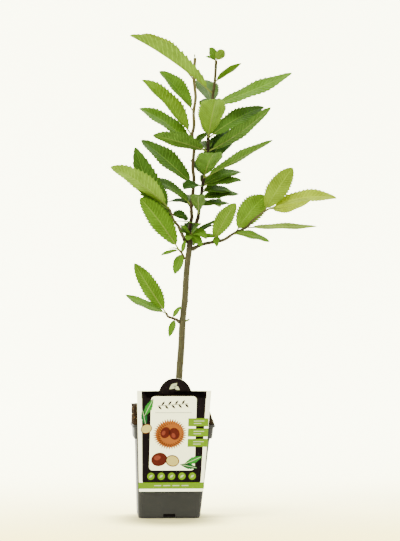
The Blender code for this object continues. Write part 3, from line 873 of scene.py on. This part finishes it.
# A shoot with a bark of its own: its colours low and high on it, and where the change lies
SHOOT_BARKS = {
    "left_shoot": ("#3a3118", "#66603a", 410, 580),
    "right_shoot": ("#241d0f", "#454123", 480, 600),
    "left_spray": ("#5a5233", "#615b3f", 380, 410),
    "right_spray": ("#45402a", "#5c5a33", 380, 410),
    "low_spray": ("#3b311c", "#4a4124", 262, 270),
}
stalk_green = mottled("stalk_green", ("#5e6927", "#576028"), 0.5, 300.0, 0.7, 2000.0, 0.1)
LEAF_FINISHES = [shoot_bark, stalk_green]
TINT_INDEX = {}
for tint_name, (upper_colour, under_colour) in LEAF_TINTS.items():
    TINT_INDEX[tint_name] = len(LEAF_FINISHES)
    LEAF_FINISHES.append(leaf_side(tint_name + "_upper", upper_colour, 0.45, 0.6, 0.7))
    LEAF_FINISHES.append(leaf_side(tint_name + "_under", under_colour, 0.55, 0.8, 0.8))


def blade_share(along):
    """A chestnut leaf's half width, as a share of its widest, from its base to its tip."""
    return math.sin(math.pi * along ** BLADE_SKEW) ** BLADE_FULLNESS


def leaf_frame(node, reach, arch, turn, along):
    """The midrib's point, the direction across the blade and the blade's normal."""
    turned = math.radians(turn)
    wanted = Vector((0, -math.sin(turned), math.cos(turned)))
    bow = 4 * arch * reach.length
    point = node + reach * along + Vector((0, 0, bow * along * (1 - along)))
    ahead = (reach + Vector((0, 0, bow * (1 - 2 * along)))).normalized()
    normal = (wanted - ahead * wanted.dot(ahead)).normalized()
    return point, ahead.cross(normal), normal


def join_in(whole, part):
    """Adds one bmesh to another and frees it."""
    mesh = bpy.data.meshes.new("part")
    part.to_mesh(mesh)
    part.free()
    whole.from_mesh(mesh)
    bpy.data.meshes.remove(mesh)


def add_leaf(shoot, node, reach, width, turn, fold, arch, tint):
    """One leaf: a grid laid along the midrib, its edge toothed, folded, quilted and thickened."""
    reach = Vector(reach)
    small = reach.length < SMALL_LEAF
    teeth = SMALL_LEAF_TEETH if small else LEAF_TEETH
    steps = len(TOOTH_STEPS)
    thick = LEAF_THICK * (0.8 if small else 1.0)
    wave = leaf_chance.uniform(0, 2 * math.pi)
    work = bmesh.new()
    work.loops.layers.uv.new("leaf")
    made = bmesh.ops.create_grid(
        work, x_segments=teeth * steps, y_segments=LEAF_ACROSS, size=0.5, calc_uvs=True
    )["verts"]
    up = leaf_frame(node, reach, arch, turn, 0.5)[2]
    for vertex in made:
        station = (vertex.co.x + 0.5) * teeth
        tooth = min(int(station + 0.01), teeth)
        part = round((station - tooth) * steps) % steps
        share = min(1.0, (tooth + TOOTH_STEPS[part]) / teeth) if tooth < teeth else 1.0
        side = 2 * vertex.co.y
        along = PETIOLE_SHARE + (1 - PETIOLE_SHARE) * share
        point, across, normal = leaf_frame(node, reach, arch, turn, along)
        half = width / 2 * blade_share(share) if 0 < share < 1 else 0.0
        half = max(half, BLADE_ENDS[0] if share < 1 else BLADE_ENDS[1])
        if abs(side) > 0.99:
            half *= 1 - TOOTH_DEPTH * (1 - TOOTH_RISE[part])
        else:
            half *= 1 - TOOTH_DEPTH * 0.6 * abs(side)
        angle = math.radians(fold)
        reach_out = half * abs(side)
        rise = reach_out * math.sin(angle)
        vein_phase = (share * teeth - VEIN_SWEEP * abs(side)) * 2 * math.pi
        quilt = math.cos(vein_phase) * abs(side) * (1.1 - abs(side)) * 3
        rise += quilt * QUILT_DEPTH * half
        rise += math.sin(share * WAVE_TURN + wave + side) * WAVE_RISE * half * abs(side)
        vertex.co = point + across * math.copysign(reach_out * math.cos(angle), side)
        vertex.co += normal * rise
    faces = list(work.faces)
    bmesh.ops.recalc_face_normals(work, faces=faces)
    if sum(face.normal.dot(up) for face in faces) < 0:
        bmesh.ops.reverse_faces(work, faces=faces)
    bmesh.ops.solidify(work, geom=faces, thickness=thick)
    bmesh.ops.recalc_face_normals(work, faces=work.faces)
    for face in work.faces:
        face.material_index = TINT_INDEX[tint] + (0 if face.normal.dot(up) > 0 else 1)
    stations = [PETIOLE_SHARE * i / 3 for i in range(3)] + [
        PETIOLE_SHARE + (RIB_END - PETIOLE_SHARE) * i / 10 for i in range(11)
    ]
    rib, rib_widths = [], []
    stout = min(RIB_WIDTHS[1], RIB_WIDTHS[0] + width * RIB_WIDTHS[2])
    for along in stations:
        point, _, normal = leaf_frame(node, reach, arch, turn, along)
        past = max(0.0, along - PETIOLE_SHARE)
        rib.append(point - normal * (thick * 0.5 + stout * 0.1 * (1 - past)))
        rib_widths.append(stout * (0.6 - 0.45 * past if past else 1.0))
    tube(work, rib, rib_widths, RIB_SIDES, 1)
    join_in(shoot, work)


def make_shoot(name, nodes, thick, thin, leaves):
    """The stem through its nodes, a bud at each big leaf past the first node, and the leaves, as
    one piece.

    A leaf is the index of its node, its reach from there to its tip, its width, its turn round
    that reach, how far its halves fold up (both in degrees), its arch and its tint.
    """
    nodes = [Vector(node) for node in nodes]
    if name in CARRIERS:
        end = [Vector(point) for point in LIMBS[CARRIERS[name]][0][-2:]]
        nodes[0] = end[1] + (end[1] - end[0]).normalized() * SET_IN / 2
    nodes[0] -= (nodes[1] - nodes[0]).normalized() * SET_IN
    widths = even_taper(thick, thin, len(nodes))
    shoot = bmesh.new()
    shoot.loops.layers.uv.new("leaf")
    path, stem_widths = smooth_path(nodes, widths, BARK_STEP)
    verts = tube(shoot, path, stem_widths, TWIG_SIDES)
    shoot.normal_update()
    roughen(verts, size=1.6, streak=0.3, depth=0.12, seed=len(name))
    for node, reach, width, turn, fold, arch, tint in leaves:
        turn += roll_drift.uniform(-ROLL_SPREAD, ROLL_SPREAD)
        add_leaf(shoot, nodes[node], reach, width, turn, fold, arch, tint)
        out = Vector((reach[0], reach[1], 0)).normalized()
        if node and width > BUD_LEAF:
            place = nodes[node] + out * widths[node] * 0.45 + Vector((0, 0, BUD_RISE))
            up = Vector((out.x * 0.3, out.y * 0.3, 1)).normalized()
            bud(shoot, place, out, up, BUD_SIZE, 0)
    used = sorted({face.material_index for face in shoot.faces})
    for face in shoot.faces:
        face.material_index = used.index(face.material_index)
    finishes = [LEAF_FINISHES[index] for index in used]
    if name in SHOOT_BARKS:
        finishes[0] = bark_material(name + "_bark", *SHOOT_BARKS[name])
    piece = add_piece(name + "_leaves", shoot, finishes)
    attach(piece, "root")
    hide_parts(name)


make_shoot(
    "left_shoot",
    [(32, 3, 401), (31.6, 3, 410), (31.9, 3, 418), (34.6, 4, 444), (35, 5, 456),
     (33.6, 6, 471), (35.6, 7, 497), (33, 8, 513), (35.4, 8, 526), (35, 9, 545),
     (37.7, 10, 565), (35.6, 11, 589), (37, 12, 619)],
    5.2, 4.2,
    [
        (1, (0, 80, 28), 18, 0, 16, 0.08, "deep"),
        (2, (-58, 36, 41), 24, 26, 14, 0.06, "deep"),
        (2, (-32, 20, 5), 16, 24, 16, 0.08, "dark"),
        (3, (-70, 22, 64), 39, 36, 12, 0.03, "deep"),
        (6, (-74, 16, 54), 37, 32, 12, 0.06, "fresh"),
        (6, (19, 22, 22), 14, 24, 20, 0.05, "green"),
        (7, (-68, 16, 77), 38, 32, 28, 0.05, "lime"),
        (9, (-45, 34, 60), 30, 32, 26, 0.06, "fresh"),
        (11, (-72, 12, 63), 32, 30, 36, 0.08, "pale"),
        (12, (-1, -5, 5), 2, 0, 0, 0.0, "fresh"),
    ],
)


# ---- Right leader's shoot -------------------------------------------------------------------
# The longer of the two leaders, with leaves on all sides of it. Those that point to the front
# show their pale undersides, and those behind show their dark glossy upper sides, given darker
# tints as painted shade.

make_shoot(
    "right_shoot",
    [(40.5, -1, 401), (41, -1, 405), (42.5, -2, 416), (43.8, -2, 425), (45.2, -3, 435),
     (46, -3, 443), (47.7, -4, 454), (49, -4, 463), (53.3, -5, 490), (53.8, -6, 508),
     (56, -7, 527), (59, -8, 552), (60.3, -8, 568), (62.6, -9, 584), (64.3, -10, 612)],
    5.2, 4.0,
    [
        (1, (-5, -68, 21), 22, 0, 26, 0.06, "deep"),
        (2, (42, 20, 5), 22, 30, 10, 0.05, "green"),
        (2, (33, 80, 5), 28, 0, 16, 0.08, "deep"),
        (3, (54, 26, 10), 25, 31, 10, 0.05, "green"),
        (4, (43, 24, 3), 28, 34, 10, 0.06, "green"),
        (5, (-27, -44, -8), 26, 40, 16, 0.06, "dark"),
        (5, (54, 10, 9), 26, 33, 10, 0.05, "deep"),
        (5, (34, 96, 14), 32, 0, 16, 0.08, "dark"),
        (5, (55, 30, 22), 30, 28, 10, 0.08, "deep"),
        (6, (92, -16, 50), 26, -20, 16, 0.0, "green"),
        (6, (8, -96, 24), 38, 0, 18, 0.05, "green"),
        (6, (2, 108, 30), 34, 0, 16, 0.08, "dark"),
        (8, (-75, -30, 18), 32, -38, 16, 0.02, "green"),
        (7, (44, 66, 64), 40, 18, 14, 0.05, "dark"),
        (8, (87, 16, 62), 32, -34, 10, -0.04, "green"),
        (8, (-12, 88, 20), 30, 0, 16, 0.06, "deep"),
        (9, (4, -92, 40), 44, 0, 30, 0.03, "spring"),
        (9, (76, 4, 43), 36, 38, 8, 0.05, "green"),
        (9, (18, 104, 30), 34, 0, 16, 0.08, "deep"),
        (10, (8, 92, 44), 34, 0, 16, 0.08, "dark"),
        (11, (106, -20, 42), 40, 34, 4, -0.02, "fresh"),
        (11, (-8, 84, 46), 34, 0, 14, 0.05, "deep"),
        (12, (-113, -30, 73), 38, 0, 60, 0.04, "lime"),
        (13, (34, -22, 22), 16, -18, 30, -0.02, "fresh"),
        (14, (-10, -7, 16), 15, 60, 10, 0.1, "fresh"),
        (14, (11, -6, 13), 15, -60, 10, 0.1, "lime"),
        (14, (-14, 2, 6), 7, 40, 10, 0.1, "fresh"),
    ],
)


# ---- Right bough's spray and tuft -----------------------------------------------------------
# The bough's young end carries a fan of six bright leaves, face on to the front, and a short
# side spur where the bough starts carries one more and four tiny ones.

make_shoot(
    "right_spray",
    [(84.9, -3, 376.8), (87.2, -3, 378.3), (91.5, -3, 381), (106.3, -3, 387.6),
     (113, -4, 395.6), (121, -4, 402.4), (129.2, -5, 408.4), (137.3, -5, 413)],
    3.9, 2.5,
    [
        (1, (48, -22, -11), 25, -26, 0, 0.08, "fresh"),
        (2, (43, 22, 51), 37, 74, 12, 0.06, "lime"),
        (3, (97, 20, 3), 24, 24, 6, 0.0, "pale"),
        (6, (40, 10, 61), 33, 60, 14, 0.02, "pale"),
        (7, (90, -6, 14), 32, 40, 12, 0.08, "yellow"),
        (7, (58, 20, 14), 29, -42, 10, -0.05, "yellow"),
    ],
)
make_shoot(
    "right_tuft",
    [(61.6, -2, 371), (63.6, -3, 374.4)],
    2.4, 2.0,
    [
        (0, (29, -24, 50), 28, -42, 14, 0.03, "spring"),
        (1, (-14, -12, -2), 9, 50, 10, 0.1, "fresh"),
        (1, (1, -15, -14), 9, 60, 10, 0.1, "fresh"),
        (1, (-11, 10, 5), 7, 0, 10, 0.1, "green"),
        (1, (6, 12, -5), 7, 0, 10, 0.1, "green"),
    ],
)


# ---- Left bough's spray ---------------------------------------------------------------------
# A short shoot on the left bough, with two big leaves that reach up and out and small ones
# behind them.

make_shoot(
    "left_spray",
    [(13.4, -3.1, 388.9), (8, -4, 395.6), (5.3, -4, 402.4), (2, -5, 412)],
    4.3, 2.8,
    [
        (1, (30, -12, -5), 8, 8, 10, 0.04, "deep"),
        (1, (-20, 4, 14), 13, 40, 10, 0.06, "dark"),
        (2, (23, 16, -3), 20, 50, 10, 0.1, "dark"),
        (2, (-16, 12, 15), 10, 34, 10, 0.06, "deep"),
        (3, (-80, -24, 54), 36, -34, 18, 0.06, "lime"),
        (3, (-46, 20, 85), 41, 44, 10, -0.2, "green"),
    ],
)


# ---- Tufts at the fork ----------------------------------------------------------------------
# Short spurs with small crowded leaves sit on the trunk just under the fork: one on its left
# with a big bright leaf, one at the front and one at the back.

make_shoot(
    "spur_tuft",
    [(21.2, -1, 346.6), (18.6, -1.6, 352), (14.6, -2, 357)],
    3.6, 3.0,
    [
        (1, (-10, -6, -28), 15, 80, 10, 0.05, "fresh"),
        (1, (4, -6, 17), 7, 60, 10, 0.05, "fresh"),
        (2, (-53, -18, 68), 35, -44, 14, 0.04, "fresh"),
        (2, (-25, -8, -8), 9, 34, 10, 0.03, "fresh"),
        (2, (-13, 10, 2), 7, 10, 10, 0.08, "green"),
    ],
)
make_shoot(
    "fork_tuft_front",
    [(30.2, -5.1, 374.5), (30.4, -7.6, 376.5)],
    2.4, 2.0,
    [
        (1, (-15, -13, 11), 13, 40, 10, 0.1, "fresh"),
        (1, (13, -13, 14), 14, 40, 10, 0.1, "green"),
        (1, (20, -15, -6), 17, 50, 10, 0.26, "fresh"),
        (1, (14, -10, -16), 14, 60, 10, 0.1, "fresh"),
        (1, (-17, -14, 4), 9, 40, 10, 0.05, "green"),
        (1, (-6, -16, -8), 12, 60, 10, 0.1, "fresh"),
    ],
)
make_shoot(
    "fork_tuft_back",
    [(30.2, 5.1, 374.5), (30.4, 7.6, 376.5)],
    2.4, 2.0,
    [
        (1, (-14, 16, 12), 13, 30, 10, 0.1, "green"),
        (1, (20, 14, 4), 14, 30, 10, 0.1, "green"),
        (1, (4, 40, 20), 20, 0, 12, 0.1, "dark"),
        (1, (6, 22, -12), 13, 0, 10, 0.1, "green"),
        (1, (43, -4, 23), 12, 24, 10, 0.04, "dark"),
        (1, (33, 3, 15), 11, 24, 10, 0.04, "dark"),
    ],
)


# ---- Low spray ------------------------------------------------------------------------------
# The lone twig halfway up the trunk ends in a short piece of young wood. Two long leaves reach
# up and out to the left from its tip, and two small ones sit behind them.

make_shoot(
    "low_spray",
    [(10.9, -2, 262.8), (9.2, -2.1, 263.6), (5.3, -2, 265), (0, -2, 267), (-2.7, -3, 271.8)],
    3.8, 3.5,
    [
        (1, (-8, -7, -24), 10, 70, 10, 0.05, "fresh"),
        (2, (12, -8, 15), 9, 46, 10, 0.05, "fresh"),
        (4, (-43, -16, 66), 29, -44, 14, -0.02, "fresh"),
        (4, (-54, 18, 25), 22, 28, 6, -0.02, "fresh"),
    ],
)


# ---- Card -----------------------------------------------------------------------------------
# A laminated picture card stands at the pot's front, hooked over the rim by a tongue at its
# back. Its hump and dark panel frame a pale window with a burr, nuts and leaves, over a row of
# green discs and a green band. Each colour is a thin layer of ink laid on the card.

CARD_FOOT = 36.5
CARD_TOP = 168.5
CARD_FOOT_WIDTH = 84.0
CARD_TOP_WIDTH = 98.0
CARD_THICK = 0.8
CARD_LEAN = 4.0  # how far its top stands to +X of its foot
CARD_HUMP_WIDTH = 42.0
CARD_HUMP_HEIGHT = 16.5
CARD_HUMP_ASIDE = 1.2
CARD_SEGMENTS = 90
TONGUE_WIDTH = 30.0
TONGUE_DROP = 13.0
CARD_MIDDLE = POT_LEAN
CARD_FRONT = -POT_RIM / 2 - GAP - CARD_THICK
INK_FOOT = 0.2  # how far the ink layers reach down into the card
INK_STEP = 0.04
PRINT_CORNER_STEPS = 6
BAR_HEIGHTS = (127.0, 113.5, 100.0)
DISCS = 5
DISC_STEP = 13.6
DISC_HEIGHT = 56.4
DASHES = 4
DASH_STEP = 12.0
BAND_HEIGHT = 44.2

INKS = {
    "card_white": "#f4f4c8",
    "panel": "#0b0605",
    "window": "#f0f2be",
    "green": "#516e08",
    "bright_green": "#21641c",
    "deep_green": "#10461a",
    "nut": "#3f1409",
    "nut_light": "#622c1c",
    "burr": "#7c4517",
    "burr_dark": "#4d260a",
    "cream": "#a1924c",
    "rule": "#231e1c",
    "pale_ink": "#979e74",
}
card_finishes = [
    plain_material("card_" + ink_name, ink_colour, 0.5, 0.03)[0]
    for ink_name, ink_colour in INKS.items()
]
INK_INDEX = {ink_name: index for index, ink_name in enumerate(INKS)}


def card_middle(height):
    """The card leans a little less than the pot does."""
    return CARD_MIDDLE - CARD_LEAN * (CARD_TOP - min(height, CARD_TOP)) / (CARD_TOP - CARD_FOOT)


def hump_rise(share):
    """The height of the card's round hump, from its middle (0) to its sides (1)."""
    return CARD_HUMP_HEIGHT * max(0.0, 1 - share ** 2.2) ** 0.7


def patch(width, height, corner=0.0, top_width=None):
    """A flat rectangle or trapezium, with its corners rounded."""
    flat = bmesh.new()
    bmesh.ops.create_grid(flat, x_segments=1, y_segments=1, size=0.5)
    for vertex in flat.verts:
        vertex.co.x *= top_width if top_width and vertex.co.y > 0 else width
        vertex.co.y *= height
    if corner:
        round_corners(flat, corner, PRINT_CORNER_STEPS)
    return flat


def rounded(width, height, spikes=0, depth=0.0, point=0.0):
    """A flat oval. Spikes draw every other point in, and point sharpens both ends like a leaf."""
    flat = bmesh.new()
    made = bmesh.ops.create_circle(
        flat, cap_ends=True, segments=2 * spikes if spikes else 40, radius=1.0
    )["verts"]
    for index, vertex in enumerate(made):
        inward = 1 - depth * (index % 2)
        sharp = (1 - abs(vertex.co.x)) ** point if point else 1.0
        vertex.co.x *= width / 2 * (inward if not point else 1.0)
        vertex.co.y *= height / 2 * inward * sharp
    return flat


def hump_shape(width, foot, inset):
    """A flat strip whose top edge follows the card's hump, a little inside it."""
    flat = bmesh.new()
    bmesh.ops.create_grid(flat, x_segments=CARD_SEGMENTS, y_segments=1, size=0.5)
    for vertex in flat.verts:
        vertex.co.x *= width
        high = hump_rise(abs(vertex.co.x) / (CARD_HUMP_WIDTH / 2 - inset)) - inset
        vertex.co.y = high if vertex.co.y > 0 else -foot
    return flat


def stand_on_card(flat, depth, across, back, height):
    """Thickens a flat shape, stands it up at its place and leans it as the card leans."""
    deep = bmesh.ops.extrude_face_region(flat, geom=list(flat.faces))["geom"]
    bmesh.ops.translate(flat, vec=(0, 0, depth), verts=verts_of(deep))
    bmesh.ops.rotate(flat, matrix=Matrix.Rotation(math.pi / 2, 3, "X"), verts=flat.verts)
    bmesh.ops.translate(flat, vec=(across, back, height), verts=flat.verts)
    for vertex in flat.verts:
        vertex.co.x += card_middle(vertex.co.z)
    bmesh.ops.recalc_face_normals(flat, faces=flat.faces)


def lay(card, flat, finish, across, height, spin=0.0, layer=1):
    """Joins a flat shape onto the card's front as a layer of ink."""
    face_up(flat)
    bmesh.ops.rotate(flat, matrix=Matrix.Rotation(math.radians(spin), 3, "Z"), verts=flat.verts)
    stand_on_card(flat, INK_STEP * layer + INK_FOOT, across, CARD_FRONT + INK_FOOT, height)
    for face in flat.faces:
        face.material_index = INK_INDEX[finish]
    join_in(card, flat)


def card_plate():
    """The card itself: a grid drawn to its outline and thickened."""
    work = bmesh.new()
    bmesh.ops.create_grid(work, x_segments=CARD_SEGMENTS, y_segments=1, size=0.5)
    for vertex in work.verts:
        top = vertex.co.y > 0
        across = vertex.co.x * (CARD_TOP_WIDTH if top else CARD_FOOT_WIDTH)
        high = hump_rise(abs(across - CARD_HUMP_ASIDE) / (CARD_HUMP_WIDTH / 2)) if top else 0.0
        vertex.co.x = across
        vertex.co.y = (CARD_TOP if top else CARD_FOOT) + high
    stand_on_card(work, CARD_THICK, 0, CARD_FRONT + CARD_THICK, 0)
    return work


def tongue_frame(away, height, turn):
    """Where the tongue's end face stands at a point of its path, turned down by an angle."""
    turned = Matrix.Rotation(-math.radians(turn), 4, "X")
    return Matrix.Translation((CARD_MIDDLE, away, height)) @ turned


def add_tongue(card):
    """The tongue leaves the card's back over the rim, turns down and lies inside the wall."""
    leg = -pot_width(POT_HEIGHT) / 2 + POT_WALL + GAP
    top = POT_HEIGHT + GAP + CARD_THICK / 2
    path = [(CARD_FRONT + CARD_THICK / 2, top, 0), (leg - 0.2, top, 0), (leg + 0.2, top - 0.2, 30)]
    path += [(leg + 0.5, top - 0.6, 60), (leg + 0.7, top - 1.6, 80)]
    path += [(leg + 2.1, POT_HEIGHT - TONGUE_DROP, 83)]
    strip = bmesh.new()
    bmesh.ops.create_grid(strip, x_segments=1, y_segments=1, size=0.5)
    bmesh.ops.scale(strip, vec=(TONGUE_WIDTH, CARD_THICK, 1), verts=strip.verts)
    bmesh.ops.rotate(strip, matrix=Matrix.Rotation(-math.pi / 2, 3, "X"), verts=strip.verts)
    bmesh.ops.transform(strip, matrix=tongue_frame(*path[0]), verts=strip.verts)
    face = strip.faces[:][0]
    for before, after in zip(path, path[1:]):
        face = bmesh.ops.extrude_discrete_faces(strip, faces=[face])["faces"][0]
        move = tongue_frame(*after) @ tongue_frame(*before).inverted()
        bmesh.ops.transform(strip, matrix=move, verts=face.verts)
    bmesh.ops.holes_fill(strip, edges=[edge for edge in strip.edges if edge.is_boundary])
    bmesh.ops.recalc_face_normals(strip, faces=strip.faces)
    join_in(card, strip)


def lay_sprig(card, across, height, length, spin, finish, leaves):
    """A thin stalk with small leaves at each side of it."""
    turned = Matrix.Rotation(math.radians(spin), 3, "Z")
    lay(card, patch(length, 0.7), finish, across, height, spin, 4)
    for index in range(leaves):
        side = 1 if index % 2 else -1
        spot = turned @ Vector((length * ((index + 0.6) / leaves - 0.5), side * 2.6, 0))
        lay(card, rounded(7.0, 3.0, point=0.5), finish, across + spot.x, height + spot.y,
            spin + side * 48, 4)


def lay_leaf(card, across, height, length, width, spin, finish):
    """A toothed leaf with a paler midrib."""
    lay(card, rounded(length, width, 20, 0.14, 0.45), finish, across, height, spin, 5)
    lay(card, patch(length * 0.86, 0.6), "pale_ink", across, height, spin, 6)


def lay_nut(card, across, height, size, spin, cut=False):
    """A nut, whole with a light patch, or cut to show its cream flesh."""
    lay(card, rounded(size, size * 0.84), "nut", across, height, spin, 7)
    turned = Matrix.Rotation(math.radians(spin), 3, "Z")
    spot = turned @ Vector((-size * 0.1, size * 0.12, 0))
    if cut:
        lay(card, rounded(size * 0.88, size * 0.7), "cream", across, height, spin, 8)
    else:
        lay(card, rounded(size * 0.42, size * 0.3), "nut_light", across + spot.x,
            height + spot.y, spin, 8)


card_work = card_plate()
add_tongue(card_work)
lay(card_work, patch(76.6, 120.6, 5.0, 85.0), "panel", 0, 106.6, layer=1)
lay(card_work, patch(85.6, 9.0), "panel", 0, 163.6, layer=1)
lay(card_work, hump_shape(60.0, 4.0, 0.2), "panel", CARD_HUMP_ASIDE, CARD_TOP)
lay(card_work, patch(60.0, 97.0, 5.0), "window", 0, 112.6, layer=2)
lay(card_work, rounded(13.0, 6.5, point=0.5), "pale_ink", -1.2, 174.4, 38, 3)
lay(card_work, rounded(9.5, 5.0, point=0.5), "pale_ink", 3.4, 172.2, -36, 3)
lay_sprig(card_work, -1.0, 150.0, 40.0, 4, "rule", 9)
lay(card_work, patch(48.0, 0.5), "rule", 0, 139.6, layer=4)
lay_leaf(card_work, -33.0, 146.0, 27.0, 10.0, 64, "bright_green")
lay_leaf(card_work, -38.5, 133.5, 22.0, 8.5, 104, "deep_green")
lay_leaf(card_work, 27.5, 77.0, 26.0, 9.5, 24, "bright_green")
lay_leaf(card_work, 22.0, 69.5, 24.0, 8.0, -12, "deep_green")
lay_nut(card_work, -35.0, 118.5, 15.0, 20, cut=True)
lay(card_work, rounded(45.0, 41.0, 38, 0.2), "burr", -4.0, 111.5, 0, 5)
lay(card_work, rounded(37.0, 33.0, 34, 0.22), "burr_dark", -4.0, 110.5, 5, 6)
lay(card_work, rounded(32.0, 29.0, 30, 0.16), "burr", -3.0, 111.5, 12, 6.5)
lay_nut(card_work, -10.0, 113.5, 15.0, 65)
lay_nut(card_work, 2.0, 112.0, 16.0, 112)
lay_nut(card_work, -17.0, 78.5, 21.0, 12)
lay_nut(card_work, 0.5, 76.5, 18.0, -14, cut=True)
for bar_height in BAR_HEIGHTS:
    lay(card_work, patch(26.5, 10.5), "green", 33.0, bar_height, layer=5)
    lay(card_work, patch(14.0, 1.0), "pale_ink", 34.0, bar_height + 1.6, layer=6)
    lay(card_work, patch(10.0, 1.0), "pale_ink", 32.0, bar_height - 1.6, layer=6)
for disc in range(DISCS):
    disc_across = DISC_STEP * (disc - (DISCS - 1) / 2)
    lay(card_work, rounded(9.6, 9.6), "green", disc_across, DISC_HEIGHT, layer=5)
    lay(card_work, rounded(6.0, 2.6, point=0.5), "pale_ink", disc_across, DISC_HEIGHT, 40, 6)
lay(card_work, patch(86.4, 8.2), "green", 0, BAND_HEIGHT, layer=5)
for dash in range(DASHES):
    dash_across = DASH_STEP * (dash - (DASHES - 1) / 2)
    lay(card_work, patch(9.0, 1.2), "pale_ink", dash_across, BAND_HEIGHT, layer=6)
card = add_piece("picture_card", card_work, card_finishes, smooth=False)
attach(card, "root")
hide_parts("label")
